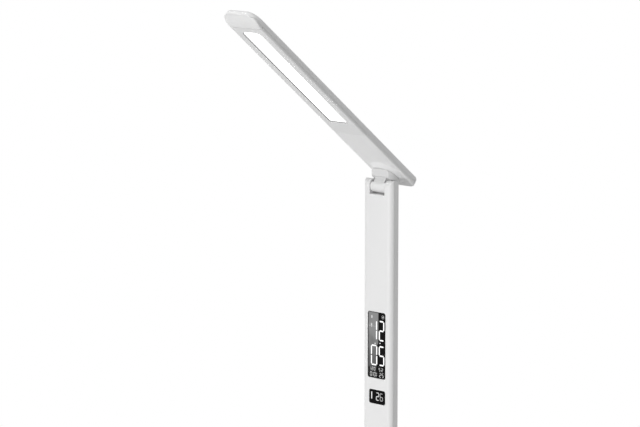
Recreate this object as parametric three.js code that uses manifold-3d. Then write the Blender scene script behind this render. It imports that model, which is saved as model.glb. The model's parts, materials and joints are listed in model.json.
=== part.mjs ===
// A folding desk lamp: a flat light head on a swivelling neck, a slim post with two displays, and a
// weighted base. Millimetres, +Z up. The lamp faces -Y, and the origin is the middle of its underside.

import * as THREE from "three";
import { mergeVertices } from "three/addons/utils/BufferGeometryUtils.js";
import Module from "manifold-3d";

// Clearances and mould values that every piece shares
const fitGap = 0.3; // between pieces that are seated, screwed or clipped together
const partingGap = 0.2; // the fine line where two outer shells meet
const cutOverrun = 5; // how far a cutter runs past the face that it opens
const fuseDepth = 0.5; // how far a boss, rib or clip is sunk into the wall that carries it
const leastRadius = 0.4; // of a corner that a wall would otherwise leave sharp
const ribWidth = 1.2;

// Post
const postWidth = 38;
const postDepth = 11.6;
const postLength = 285; // from the fold hinge's axis to the head hinge's axis
const postFrontReach = 5.5; // of the front's rounding, in from each side
const postFrontDepth = 4; // of the front's rounding, back from the front face
const postRearRadius = 1.5;
const postWall = 1.6;
const postEndBlock = 14; // length of solid post inwards of each hinge axis
const postLipWidth = 0.8;
const postLipReach = 1.5; // how far the front shell's lip stands into the rear shell
const postRibHeight = 1.5;
const postRibPitch = 18;

// The two hinges, alike at both ends of the post
const slotWidth = 19.8;
const slotFloor = 8.8; // from the hinge axis
const slotRidgeHeight = 2.6; // of the ridge along the slot's floor, which closes the view through it
const slotRidgeWidth = 2;
const barrelRadius = 5.5;
const barrelSideGap = 0.45;
const webDepth = 10; // front to back, of the web that carries the barrel
const pinRadius = 2.5;
const pinBite = 6; // how far the pin reaches into each cheek
const washerRadius = 4.2;
const washerThickness = 0.8;

// Displays, counted down the post from the head hinge's axis
const mainWindowWidth = 23.8;
const mainWindowHeight = 67.4;
const mainWindowDropShare = 0.4449; // of the post's length, down to the main window
const smallWindowWidth = 21.7;
const smallWindowHeight = 14.4;
const windowSpacing = 11.8;
const windowCorner = 1;
const windowRecess = 0.2;
const windowFlange = 1.4;
const windowFlangeThickness = 0.8;
const lcdThickness = 2.2;
const boardThickness = 1.2;
const boardSideMargin = 2.4; // past the main window on each side
const boardEndMargin = 7; // past the windows at both ends
const cellRadius = 6.25;
const cellThickness = 2;
const cellRise = 16; // of the cell's centre over the display board's lower end

// Setting buttons in the back of the post
const buttonNames = ["set_button", "up_button", "down_button"];
const buttonRadius = 3;
const buttonFlange = 0.8;
const buttonFlangeThickness = 0.8;
const buttonStand = 0.8; // how far a button stands proud of the back
const buttonDish = 0.5; // depth of the dish in a button's face
const buttonPitch = 14;
const buttonDrop = 14; // of the first button under the display board's upper end
const switchSize = 4.5;
const switchHeight = 1.4;

// Head; lengths along it are counted from the head hinge's axis, heights from that axis too
const headTilt = THREE.MathUtils.degToRad(38.2); // above level
const headWidth = 42;
const headThickness = 8.6;
const headRise = 15.4; // to the underside
const headReach = 268; // to the tip
const headHeel = 25.5; // behind the axis
const headCorner = 8.5;
const tipCorner = 14;
const headUnderRadius = 1.5;
const headTopRadius = 2.5;
const headWall = 1.6;
const headSideHeight = 3; // of the underside covers' sides, up to the parting line
const noseLength = 17;
const noseRise = 3.6;
const noseSteps = 3; // rings of the nose over the lower edge's rounding
const noseCorner = 2.5; // plan radius where the nose leaves the underside
const nosePegRadius = 2;
const nosePegLength = 3;
const nosePegHalf = 12; // from the head's middle to each peg of the nose cap
const coverReach = 69.4; // parting line across the underside
const coverFloor = 2;
const bezelFloor = 1.5;
const clipWidth = 4;
const clipThickness = 1;
const clipHeight = 3;
const clipHook = 0.5;
const clipPitch = 36;
const headRibPitch = 27;

// Light
const lightWidth = 24.2;
const lightStart = 91.3; // from the head hinge's axis
const lightTipMargin = 7.2; // from the light to the nose
const lightCorner = 6;
const diffuserRecess = 1.2;
const diffuserFlange = 3;
const diffuserFlangeThickness = 1;
const ledWidth = 2.8;
const ledLength = 3.5;
const ledHeight = 0.7;
const ledRows = 2;
const ledsPerRow = 18;
const ledBoardMargin = 2; // past the light opening on each side
const ledBoardTail = 3.4; // past the light opening towards the tip
const ledBoardLead = 13; // past the light opening towards the hinge

// Neck and swivel, heights from the head hinge's axis
const neckGap = 0.4; // between the post's round top and the neck's turntable
const neckTop = 11.6; // where the turntable meets the head
const neckLowRadius = 11.2;
const neckMiddleRadius = 13.6;
const neckMiddleHeight = 9;
const neckTopRadius = 15.2;
const neckLowFlat = 7; // from the axis to the flats at the front and back
const neckTopFlat = 12;
const neckEdgeRadius = 0.8;
const bossRadius = 17.5; // where the head's cone runs out in the underside
const hubRadius = 8.6;
const bossWall = 2.2;
const stemRadius = 6;
const swivelWasherRadius = 8.2;
const swivelWasherThickness = 1;

// Base
const baseWidth = 100;
const baseLength = 160;
const baseHeight = 17;
const baseCorner = 14;
const baseTopRadius = 3;
const baseWall = 2.2;
const baseRimGap = 0.8; // under the top shell's rim
const padThickness = 1.2;
const padMargin = 1.2;
const plateThickness = 2.4;
const weightSideGap = 5.8; // to the top shell's sides
const weightThickness = 8;
const weightCorner = 6;
const weightGap = 4; // to the touch board in front and the stand's flange behind
const baseBossRadius = 4;
const baseScrewInset = 10; // from the base's sides and ends to each screw

// Stand that carries the fold hinge
const standRearInset = 22; // from the fold hinge to the base's rear end
const foldRise = 26; // of the fold hinge's axis over the base
const standGap = 0.5; // between the stand and the post's round lower end
const flangeWidth = 48;
const flangeLength = 16;
const flangeThickness = 3;
const flangeCorner = 3;
const standPadThickness = 2.3; // under the base's top wall, round the stand's opening
const standPadMargin = 2;
const standScrewSpacing = 42;

// Touch panel, its board and the power inlet
const touchPanelSideInset = 18; // from the panel to the base's sides
const touchPanelLength = 16;
const touchPanelThickness = 0.7;
const touchPanelRecess = 0.8;
const touchPanelCorner = 4;
const touchPanelInset = 18; // from the panel's middle to the base's front end
const touchBoardMargin = 2;
const touchSprings = 4;
const touchSpringRadius = 2.5;
const inletWidth = 9;
const inletHeight = 6;
const inletLength = 11;
const inletCollarRadius = 2.9;
const inletBoreRadius = 1.95;
const inletBoreDepth = 9;
const inletPinRadius = 0.65;

// Screws: the radius and height of the head, the radius and length of the shank
const postScrew = { head: 2.3, height: 0.7, shank: 1.1, length: 6.5 };
const ledScrew = { head: 2, height: 0.7, shank: 1, length: 2.7 };
const swivelScrew = { head: 3, height: 1.9, shank: 1.5, length: 10 };
const baseScrew = { head: 2.8, height: 1, shank: 1.4, length: 8.5 };
const standScrew = { head: 2.4, height: 1.2, shank: 1.2, length: 5.4 };
const postScrewSpread = 21; // between the two screws of a row
const postScrewInset = 22; // from each hinge axis

// Facets and welding
const cornerSteps = 6;
const edgeSteps = 4;
const facetChord = 0.9; // of one facet round a turned piece
const fewestFacets = 12;
const mostFacets = 48;
const weldDistance = 1e-4;

// Levels and faces that several pieces share
const postFront = -postDepth / 2;
const postBack = postDepth / 2;
const postFrontRadius = (postFrontReach ** 2 + postFrontDepth ** 2) / (2 * postFrontDepth);
const postSplit = postFront + postFrontDepth; // where the front's rounding ends and the shells meet
const postFrontInside = postFront + postWall;
const postBackInside = postBack - postWall;
const postSideInside = postWidth / 2 - postWall;
const barrelHalf = slotWidth / 2 - barrelSideGap;
const boreRadius = pinRadius + fitGap;
const pinHalf = slotWidth / 2 + pinBite;

const mainWindowTop = postLength * (1 - mainWindowDropShare);
const mainWindowBottom = mainWindowTop - mainWindowHeight;
const smallWindowTop = mainWindowBottom - windowSpacing;
const smallWindowBottom = smallWindowTop - smallWindowHeight;
const windowRight = mainWindowWidth / 2;
const mainWindow = [-windowRight, windowRight, mainWindowBottom, mainWindowTop];
const smallWindow = [windowRight - smallWindowWidth, windowRight, smallWindowBottom, smallWindowTop];
const windowFlangeBack = postFrontInside + fitGap + windowFlangeThickness;
const lcdFront = windowFlangeBack + fitGap;
const boardFront = lcdFront + lcdThickness + fitGap;
const boardBack = boardFront + boardThickness;
const boardHalf = windowRight + boardSideMargin;
const boardTop = mainWindowTop + boardEndMargin;
const boardBottom = smallWindowBottom - boardEndMargin;
const buttonFlangeBack = postBackInside - fitGap;
const cellHeight = boardBottom + cellRise;
const postScrewFloor = postBack - postScrew.height - fitGap;

const headTop = headRise + headThickness;
const headCeiling = headTop - headWall;
const headSplit = headRise + headSideHeight;
const noseStart = headReach - noseLength;
const coverInside = headRise + coverFloor;
const bezelInside = headRise + bezelFloor;
const cavityEnd = noseStart - headWall;
const nosePegPlaces = [-nosePegHalf, nosePegHalf].map((x) => [x, -noseStart - noseLength / 2]);
const lightEnd = noseStart - lightTipMargin;
const lightLength = lightEnd - lightStart;
const diffuserTop = bezelInside + fitGap + diffuserFlangeThickness;
const ledBoardUnder = diffuserTop + fitGap + ledHeight;
const ledBoardTop = ledBoardUnder + boardThickness;
const ledScrewReach = lightStart - (diffuserFlange + ledBoardLead) / 2;
const ledScrewHalf = (lightWidth / 2 + ledBoardMargin) / 2;

const neckUnder = postDepth / 2 + neckGap;
const washerFace = coverInside + fitGap;
const swivelScrewSeat = washerFace + swivelWasherThickness + fitGap;

const baseCeiling = baseHeight - baseWall;
const standSetback = baseLength / 2 - standRearInset;
const touchPanelSetback = baseLength / 2 - touchPanelInset;
const touchPanelWidth = baseWidth - 2 * touchPanelSideInset;
const weightFront = touchPanelLength / 2 + touchBoardMargin + weightGap - touchPanelSetback;
const weightRear = standSetback - flangeLength / 2 - weightGap;
const weightWidth = baseWidth - 2 * (baseWall + weightSideGap);
const plateTop = padThickness + plateThickness;
const weightUnder = plateTop + fitGap;
const weightTop = weightUnder + weightThickness;
const foldHeight = baseHeight + foldRise;
const standTop = foldHeight - postDepth / 2 - standGap;
const standPadUnder = baseCeiling - standPadThickness;
const flangeTop = standPadUnder - fitGap;
const flangeUnder = flangeTop - flangeThickness;
const touchSpringTop = baseCeiling - fitGap;
const touchBoardUnder = weightTop - boardThickness;

const manifold = await Module();
manifold.setup();

// Turns a closed geometry into a solid that can be joined and cut.
function solid(geometry) {
  geometry.deleteAttribute("normal");
  geometry.deleteAttribute("uv");
  const merged = mergeVertices(geometry, weldDistance);
  const all = Array.from(merged.index.array);
  const kept = [];
  for (let i = 0; i < all.length; i += 3) {
    const [a, b, c] = all.slice(i, i + 3);
    if (a !== b && b !== c && c !== a) kept.push(a, b, c);
  }
  const vertProperties = merged.getAttribute("position").array;
  return new manifold.Manifold(
    new manifold.Mesh({ numProp: 3, vertProperties, triVerts: new Uint32Array(kept) }),
  );
}

// How many facets go round a radius: a multiple of four, by the length of one facet.
function facetsRound(radius) {
  const wanted = 4 * Math.round((Math.PI * radius) / (2 * facetChord));
  return Math.min(mostFacets, Math.max(fewestFacets, wanted));
}

// Joins a list of solids into one.
const fuse = (solids) => solids.reduce((whole, next) => whole.add(next));

// Takes every cutter of a list out of a solid.
const carve = (body, cutters) => cutters.reduce((rest, cutter) => rest.subtract(cutter), body);

// A block between two limits along each axis.
function block([x0, x1], [y0, y1], [z0, z1]) {
  const box = new THREE.BoxGeometry(x1 - x0, y1 - y0, z1 - z0);
  return solid(box.translate((x0 + x1) / 2, (y0 + y1) / 2, (z0 + z1) / 2));
}

// A limit pair on both sides of a middle.
const about = (middle, half) => [middle - half, middle + half];

// A round rod along an axis, through the point (u, v) of the plane across it.
function rod(axis, radius, [from, to], [u, v] = [0, 0]) {
  const bar = new THREE.CylinderGeometry(radius, radius, to - from, facetsRound(radius));
  const middle = (from + to) / 2;
  if (axis === "x") return solid(bar.rotateZ(-Math.PI / 2).translate(middle, u, v));
  if (axis === "y") return solid(bar.translate(u, middle, v));
  return solid(bar.rotateX(Math.PI / 2).translate(u, v, middle));
}

// A piece turned about the Z axis; its profile of [radius, height] points starts and ends on the axis.
function turned(profile) {
  const points = profile.map(([radius, height]) => new THREE.Vector2(radius, height));
  const facets = facetsRound(Math.max(...profile.map(([radius]) => radius)));
  return solid(new THREE.LatheGeometry(points, facets).rotateX(Math.PI / 2));
}

// A closed outline through corners of [x, y, radius], anticlockwise, with round corners as short chords.
function outline(corners) {
  const points = [];
  corners.forEach(([x, y, radius], i) => {
    const corner = new THREE.Vector2(x, y);
    const back = new THREE.Vector2(...corners.at(i - 1)).sub(corner).normalize();
    const ahead = new THREE.Vector2(...corners[(i + 1) % corners.length]).sub(corner).normalize();
    if (!radius) {
      points.push(corner);
      return;
    }
    const half = Math.acos(back.dot(ahead)) / 2;
    const bisector = back.clone().add(ahead).normalize();
    const centre = corner.clone().addScaledVector(bisector, radius / Math.sin(half));
    const start = corner.clone().addScaledVector(back, radius / Math.tan(half));
    const turn = (Math.PI - 2 * half) * Math.sign(ahead.cross(back));
    for (let step = 0; step <= cornerSteps; step += 1) {
      const point = start.clone().rotateAround(centre, (turn * step) / cornerSteps);
      if (!points.length || point.distanceTo(points.at(-1)) > weldDistance) points.push(point);
    }
  });
  if (points[0].distanceTo(points.at(-1)) <= weldDistance) points.pop();
  return points;
}

// The corners of a rectangle, with one radius along its lower edge and one along its upper edge.
function rectangle([x0, x1], [y0, y1], lowRadius = 0, highRadius = lowRadius) {
  return [
    [x0, y0, lowRadius],
    [x1, y0, lowRadius],
    [x1, y1, highRadius],
    [x0, y1, highRadius],
  ];
}

// A prism of an outline given in the plane across an axis: (y, z) for x, (x, z) for y and (x, y) for z.
function prism(axis, points, [from, to]) {
  const shape = new THREE.ExtrudeGeometry(new THREE.Shape(points), { depth: to - from, bevelEnabled: false });
  const [x, y, z] = [new THREE.Vector3(1, 0, 0), new THREE.Vector3(0, 1, 0), new THREE.Vector3(0, 0, 1)];
  const turn = new THREE.Matrix4();
  if (axis === "x") turn.makeBasis(y, z, x).setPosition(from, 0, 0);
  if (axis === "y") turn.makeBasis(x, z, y.clone().negate()).setPosition(0, to, 0);
  if (axis === "z") turn.setPosition(0, 0, from);
  return solid(shape.applyMatrix4(turn));
}

// A skin over level rings of equally many points, listed from the lowest up, closed at both ends.
function loft(rings) {
  const count = rings[0].points.length;
  const places = rings.flatMap(({ points, z }) => points.flatMap((point) => [point.x, point.y, z]));
  const faces = [];
  for (let ring = 0; ring < rings.length - 1; ring += 1) {
    for (let i = 0; i < count; i += 1) {
      const low = ring * count + i;
      const lowNext = ring * count + ((i + 1) % count);
      faces.push(low, lowNext, lowNext + count, low, lowNext + count, low + count);
    }
  }
  const last = (rings.length - 1) * count;
  const lid = THREE.ShapeUtils.triangulateShape(rings.at(-1).points, []);
  const floor = THREE.ShapeUtils.triangulateShape(rings[0].points, []);
  lid.forEach(([a, b, c]) => faces.push(last + a, last + b, last + c));
  floor.forEach(([a, b, c]) => faces.push(c, b, a));
  const skin = new THREE.BufferGeometry();
  skin.setAttribute("position", new THREE.Float32BufferAttribute(places, 3));
  skin.setIndex(faces);
  return solid(skin);
}

// A slab whose lower and upper edges are rounded; pointsAt gives its outline for an inset and a height.
function roundedSlab(pointsAt, [low, high], lowRadius, highRadius, levels = []) {
  const rings = [];
  for (let step = 0; lowRadius && step <= edgeSteps; step += 1) {
    const angle = (Math.PI / 2) * (step / edgeSteps);
    rings.push([lowRadius * (1 - Math.sin(angle)), low + lowRadius * (1 - Math.cos(angle))]);
  }
  if (!lowRadius) rings.push([0, low]);
  levels.forEach((level) => rings.push([0, level]));
  for (let step = 0; highRadius && step <= edgeSteps; step += 1) {
    const angle = (Math.PI / 2) * (step / edgeSteps);
    rings.push([highRadius * (1 - Math.cos(angle)), high - highRadius * (1 - Math.sin(angle))]);
  }
  if (!highRadius) rings.push([0, high]);
  return loft(rings.map(([inset, z]) => ({ points: pointsAt(inset, z), z })));
}

// Paints: colour, roughness and metalness of each finish.
const finishes = {
  shell: [0xe9e9e9, 0.42, 0],
  neck: [0xe4e4e4, 0.4, 0],
  diffuser: [0xffffff, 0.35, 0],
  screen: [0x101214, 0.12, 0],
  lcd: [0x23282b, 0.3, 0],
  board: [0x1f5c3a, 0.5, 0],
  steel: [0xb8bcc0, 0.3, 1],
  rubber: [0x2b2b2d, 0.85, 0],
  inlet: [0x1b1b1c, 0.5, 0],
  touch: [0xf1f1f1, 0.12, 0],
};

// A named mesh of a solid.
function piece(name, body, finish) {
  const { vertProperties, triVerts } = body.getMesh();
  const geometry = new THREE.BufferGeometry();
  geometry.setAttribute("position", new THREE.BufferAttribute(new Float32Array(vertProperties), 3));
  geometry.setIndex(new THREE.BufferAttribute(new Uint32Array(triVerts), 1));
  const facets = geometry.toNonIndexed();
  facets.computeVertexNormals();
  const [color, roughness, metalness] = finishes[finish];
  const mesh = new THREE.Mesh(facets, new THREE.MeshStandardMaterial({ color, roughness, metalness }));
  mesh.name = name;
  return mesh;
}

// A screw whose head sits under z = 0 and whose shank runs up from there.
function screw({ head, height, shank, length }) {
  return turned([
    [0, -height],
    [head, -height],
    [head, 0],
    [shank, 0],
    [shank, length],
    [0, length],
  ]);
}

// The post's outline in plan, drawn in by an inset or let out by a negative one. The front's roundings
// meet the flat sides at a crease, where the two shells part.
function postOutline(inset = 0) {
  const radius = postFrontRadius - inset;
  const opening = Math.asin((postFrontReach - inset) / radius);
  const right = Array.from({ length: cornerSteps + 1 }, (unused, i) => {
    const angle = (opening * i) / cornerSteps;
    const x = postWidth / 2 - postFrontReach + radius * Math.sin(angle);
    return [x, postFront + postFrontRadius - radius * Math.cos(angle), 0];
  });
  const left = right.map(([x, y]) => [-x, y, 0]).reverse();
  const side = postWidth / 2 - inset;
  const back = postBack - inset;
  const rearRadius = Math.max(postRearRadius - inset, leastRadius);
  return outline([...left, ...right, [side, back, rearRadius], [-side, back, rearRadius]]);
}

// The post as one body, with round ends and a slot for a barrel at both of them. A low ridge stands
// along each slot's floor at the back, under the lowest place that the web turns to.
function postForm() {
  const ends = [-postDepth / 2, postLength + postDepth / 2];
  const side = outline(rectangle([postFront, postBack], ends, postDepth / 2));
  const column = prism("z", postOutline(), ends).intersect(prism("x", side, about(0, postWidth)));
  const slot = about(0, slotWidth / 2);
  const through = [postFront - cutOverrun, postBack + cutOverrun];
  const before = [postFront - cutOverrun, postBack - slotRidgeWidth];
  const ridgeTop = slotFloor - slotRidgeHeight;
  const cavity = [postEndBlock, postLength - postEndBlock];
  const cutters = [
    block(slot, through, [-postDepth / 2 - cutOverrun, ridgeTop]),
    block(slot, before, [0, slotFloor]),
    block(slot, through, [postLength - ridgeTop, postLength + postDepth / 2 + cutOverrun]),
    block(slot, before, [postLength - slotFloor, postLength]),
    prism("z", postOutline(postWall), cavity),
  ];
  [0, postLength].forEach((height) => cutters.push(rod("x", boreRadius, about(0, pinHalf + fitGap), [0, height])));
  return carve(column, cutters);
}

// Where the four screws of the post stand, as [x, z].
function postScrewPlaces() {
  const rows = [postScrewInset, postLength - postScrewInset];
  return rows.flatMap((z) => [-postScrewSpread / 2, postScrewSpread / 2].map((x) => [x, z]));
}

// Heights of the setting buttons.
const buttonHeights = buttonNames.map((name, i) => boardTop - buttonDrop - i * buttonPitch);

// The front shell: the rounded front with both display windows, screw pillars and a lip along each side.
function postFrontShell(form) {
  const [left, right] = about(0, postWidth);
  const lengthwise = [-postDepth, postLength + postDepth];
  const front = form.intersect(
    block([left, right], [postFront - cutOverrun, postSplit - partingGap / 2], lengthwise),
  );
  const lipOuter = postSideInside - fitGap;
  const lipEnds = [postEndBlock + fitGap, postLength - postEndBlock - fitGap];
  const lipDepth = [postFrontInside, postSplit + postLipReach];
  const lips = [
    block([lipOuter - postLipWidth, lipOuter], lipDepth, lipEnds),
    block([-lipOuter, postLipWidth - lipOuter], lipDepth, lipEnds),
  ];
  const pillarRadius = postScrew.head + fitGap;
  const pillarDepth = [postFrontInside - fuseDepth, postBackInside - fitGap];
  const pillars = postScrewPlaces().map((place) => rod("y", pillarRadius, pillarDepth, place));
  const pilotDepth = [postFrontInside, postBack];
  const cutters = [
    ...[mainWindow, smallWindow].map(([x0, x1, z0, z1]) =>
      prism(
        "y",
        outline(rectangle([x0, x1], [z0, z1], windowCorner)),
        [postFront - cutOverrun, postFrontInside + cutOverrun],
      ),
    ),
    ...postScrewPlaces().map((place) => rod("y", postScrew.shank + fitGap, pilotDepth, place)),
  ];
  return carve(fuse([front, ...lips, ...pillars]), cutters);
}

// The rear shell: a tub with stiffening ribs, button holes and sunk screw holes.
function postRearShell(form) {
  const [left, right] = about(0, postWidth);
  const lengthwise = [-postDepth, postLength + postDepth];
  const tub = form.intersect(
    block([left, right], [postSplit + partingGap / 2, postBack + cutOverrun], lengthwise),
  );
  const ribDepth = [postBackInside - postRibHeight, postBackInside + fuseDepth];
  const ribHalf = postSideInside - postLipWidth - 2 * fitGap;
  const clear = postScrew.head + 2 * fitGap + ribWidth;
  const stretches = [
    [postScrewInset + clear, boardBottom],
    [boardTop, postLength - postScrewInset - clear],
  ];
  const ribs = stretches.flatMap(([from, to]) => {
    const count = Math.floor((to - from) / postRibPitch);
    return Array.from({ length: count }, (unused, i) => {
      const height = from + ((i + 0.5) * (to - from)) / count;
      return block(about(0, ribHalf), ribDepth, about(height, ribWidth / 2));
    });
  });
  const out = postBack + cutOverrun;
  const cutters = [
    ...buttonHeights.map((z) => rod("y", buttonRadius + fitGap, [postSplit, out], [0, z])),
    ...postScrewPlaces().map((place) => rod("y", postScrew.shank + fitGap, [postSplit, out], place)),
    ...postScrewPlaces().map((place) =>
      rod("y", postScrew.head + fitGap, [postScrewFloor, out], place),
    ),
  ];
  return carve(fuse([tub, ...ribs]), cutters);
}

// A display window: a pane that fills its opening, on a wider flange behind the wall.
function displayWindow([x0, x1, z0, z1]) {
  const pane = rectangle([x0 + fitGap, x1 - fitGap], [z0 + fitGap, z1 - fitGap], windowCorner - fitGap);
  const rim = rectangle(
    [x0 - windowFlange, x1 + windowFlange],
    [z0 - windowFlange, z1 + windowFlange],
    windowCorner + windowFlange,
  );
  const flangeFront = postFrontInside + fitGap;
  return prism("y", outline(pane), [postFront + windowRecess, windowFlangeBack]).add(
    prism("y", outline(rim), [flangeFront, windowFlangeBack]),
  );
}

// A liquid crystal module behind a window: the glass, and a contact strip along its lower edge.
function lcdModule([x0, x1, z0, z1]) {
  const glass = block(
    [x0 - windowFlange, x1 + windowFlange],
    [lcdFront, lcdFront + lcdThickness / 2],
    [z0, z1 + windowFlange],
  );
  const backing = block(
    [x0 - windowFlange, x1 + windowFlange],
    [lcdFront + lcdThickness / 2, lcdFront + lcdThickness],
    [z0 - windowFlange, z1 + windowFlange],
  );
  return glass.add(backing);
}

// The board behind both displays, with a switch for each button and a holder ring for the cell.
function displayBoard() {
  const panel = block(about(0, boardHalf), [boardFront, boardBack], [boardBottom, boardTop]);
  const switches = buttonHeights.map((z) =>
    block(
      about(0, switchSize / 2),
      [boardBack - fuseDepth, boardBack + switchHeight],
      about(z, switchSize / 2),
    ),
  );
  const holderDepth = [boardBack - fuseDepth, boardBack + cellThickness / 2];
  const holder = rod("y", cellRadius + fitGap + postLipWidth, holderDepth, [0, cellHeight]).subtract(
    rod("y", cellRadius + fitGap, [boardBack, boardBack + cellThickness], [0, cellHeight]),
  );
  return fuse([panel, ...switches, holder]);
}

// A round push button with a dished face, kept in by a flange. Its axis is Y and it faces +Y.
function pushButton() {
  const face = postBack + buttonStand;
  const flangeFront = buttonFlangeBack - buttonFlangeThickness;
  return turned([
    [0, flangeFront],
    [buttonRadius + buttonFlange, flangeFront],
    [buttonRadius + buttonFlange, buttonFlangeBack],
    [buttonRadius, buttonFlangeBack],
    [buttonRadius, face - buttonDish / 2],
    [buttonRadius - buttonDish / 2, face],
    [buttonRadius - buttonDish, face],
    [0, face - buttonDish],
  ]).rotate([-90, 0, 0]);
}

// A hinge barrel along X with a bore for the pin and a sunk seat for a spring washer at both ends.
function barrelCutters() {
  const seat = washerThickness + fitGap;
  const ends = [
    [barrelHalf - seat, barrelHalf + cutOverrun],
    [-barrelHalf - cutOverrun, seat - barrelHalf],
  ];
  return [
    rod("x", boreRadius, about(0, barrelHalf + cutOverrun)),
    ...ends.map((span) => rod("x", washerRadius + fitGap, span)),
  ];
}

// A spring washer, lying in the barrel's end at the +X side.
function springWasher() {
  const outer = barrelHalf - fitGap / 2;
  const span = [outer - washerThickness, outer];
  return rod("x", washerRadius, span).subtract(rod("x", boreRadius, about(0, slotWidth)));
}

// A hinge pin with chamfered ends, along X.
function hingePin() {
  const chamfer = pinRadius / 4;
  const end = pinHalf;
  return turned([
    [0, -end],
    [pinRadius - chamfer, -end],
    [pinRadius, chamfer - end],
    [pinRadius, end - chamfer],
    [pinRadius - chamfer, end],
    [0, end],
  ]).rotate([0, 90, 0]);
}

// The neck: a barrel and its web in the post's slot, and a turntable that flares up to the head.
function swivelNeck() {
  const cone = turned([
    [0, neckUnder],
    [neckLowRadius, neckUnder],
    [neckMiddleRadius, neckMiddleHeight],
    [neckTopRadius, neckTop],
    [0, neckTop],
  ]);
  const wedge = outline([
    [-neckLowFlat, neckUnder, neckEdgeRadius],
    [neckLowFlat, neckUnder, neckEdgeRadius],
    [neckTopFlat, neckTop, 0],
    [-neckTopFlat, neckTop, 0],
  ]);
  const turntable = cone.intersect(prism("x", wedge, about(0, neckTopRadius + cutOverrun)));
  const whole = fuse([
    turntable,
    block(about(0, barrelHalf), about(0, webDepth / 2), [0, neckUnder + fuseDepth]),
    rod("x", barrelRadius, about(0, barrelHalf)),
    rod("z", stemRadius, [neckTop - fuseDepth, coverInside]),
  ]);
  const pilot = [boreRadius + headWall, coverInside + cutOverrun];
  return carve(whole, [...barrelCutters(), rod("z", swivelScrew.shank + fitGap, pilot)]);
}

// A plain washer that holds the head down on the neck.
function swivelWasher() {
  const hole = rod("z", swivelScrew.shank + fitGap, about(washerFace, cutOverrun));
  return rod("z", swivelWasherRadius, [washerFace, washerFace + swivelWasherThickness]).subtract(hole);
}

// The head's outline in plan at an inset and a height. Lower down the nose is shorter and tighter, so
// that its profile is a parabola that leaves the underside without a crease.
function headOutline(inset, height = headTop) {
  const out = Math.sqrt(Math.min(1, (height - headRise) / noseRise));
  const tip = noseStart + noseLength * out;
  const corner = Math.max(noseCorner + (tipCorner - noseCorner) * out - inset, leastRadius);
  const heelCorner = Math.max(headCorner - inset, leastRadius);
  const span = [inset - tip, headHeel - inset];
  return outline(rectangle(about(0, headWidth / 2 - inset), span, corner, heelCorner));
}

// The head as one body with rounded edges and a nose that curves up from the underside.
function headForm() {
  const levels = Array.from({ length: noseSteps }, (unused, i) => {
    const risen = ((i + 1) / noseSteps) * (noseRise - headUnderRadius);
    return headRise + headUnderRadius + risen;
  });
  return roundedSlab(headOutline, [headRise, headTop], headUnderRadius, headTopRadius, levels);
}

// The part of a form between two lengths along the head and two heights.
function headSlice(form, [near, far], heights) {
  return form.intersect(block(about(0, headWidth), [-far, -near], heights));
}

// The head's inside between two lengths along it, for a floor or a ceiling at the given heights.
function headCavity([near, far], heights) {
  const inside = outline(
    rectangle(about(0, headWidth / 2 - headWall), [-far, -near], leastRadius, headCorner - headWall),
  );
  return prism("z", inside, heights);
}

// Spring clips in two rows, which hold an underside cover in the top shell.
function coverClips([near, far], floor) {
  const count = Math.max(2, Math.round((far - near) / clipPitch));
  const outer = headWidth / 2 - headWall - fitGap;
  const top = floor + clipHeight;
  const profile = [
    [outer - clipThickness, floor - fuseDepth, 0],
    [outer - clipHook / 2, floor - fuseDepth, 0],
    [outer - clipHook / 2, top - clipThickness, 0],
    [outer, top - clipThickness, 0],
    [outer - clipHook / 2, top, 0],
    [outer - clipThickness, top, 0],
  ];
  return Array.from({ length: count }, (unused, i) => {
    const length = near + ((i + 0.5) * (far - near)) / count;
    const clip = prism("y", outline(profile), about(-length, clipWidth / 2));
    return [clip, clip.mirror([1, 0, 0])];
  }).flat();
}

// The top shell: roof and sides, with cross ribs, bosses for the light board and sockets for the nose cap.
function headTopShell(form) {
  const length = headReach + headHeel;
  const upper = form.intersect(
    block(about(0, headWidth), about(0, 2 * length), [headSplit + partingGap, headTop + cutOverrun]),
  );
  const cavity = headCavity([headWall - headHeel, cavityEnd], [headRise, headCeiling]);
  const ribUnder = ledBoardTop + fitGap;
  const ribHeights = [ribUnder, headCeiling + fuseDepth];
  const from = swivelWasherRadius + headRibPitch / 2;
  const count = Math.floor((cavityEnd - from) / headRibPitch);
  const ribs = Array.from({ length: count }, (unused, i) => {
    const length = from + ((i + 0.5) * (cavityEnd - from)) / count;
    return block(about(0, headWidth / 2 - headWall / 2), about(-length, ribWidth / 2), ribHeights);
  });
  const bossRound = ledScrew.head + fitGap;
  const screws = [-ledScrewHalf, ledScrewHalf].map((x) => [x, -ledScrewReach]);
  const bosses = screws.map((place) => rod("z", bossRound, ribHeights, place));
  const pilots = screws.map((place) => rod("z", ledScrew.shank + fitGap, [headRise, headCeiling], place));
  const socketTop = headSplit + nosePegLength + fitGap;
  const sockets = nosePegPlaces.map((place) => rod("z", nosePegRadius + fitGap, [headRise, socketTop], place));
  return carve(fuse([carve(upper, [cavity]), ...ribs, ...bosses]), [...pilots, ...sockets]);
}

// The nose cap: the curved end of the underside, with two pegs that hold it in the top shell.
function headNoseCap(form) {
  const cap = headSlice(form, [noseStart + partingGap, headReach + cutOverrun], [0, headSplit]);
  const pegHeights = [headSplit - fuseDepth, headSplit + nosePegLength];
  const pegs = nosePegPlaces.map((place) => rod("z", nosePegRadius, pegHeights, place));
  return fuse([cap, ...pegs]);
}

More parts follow.
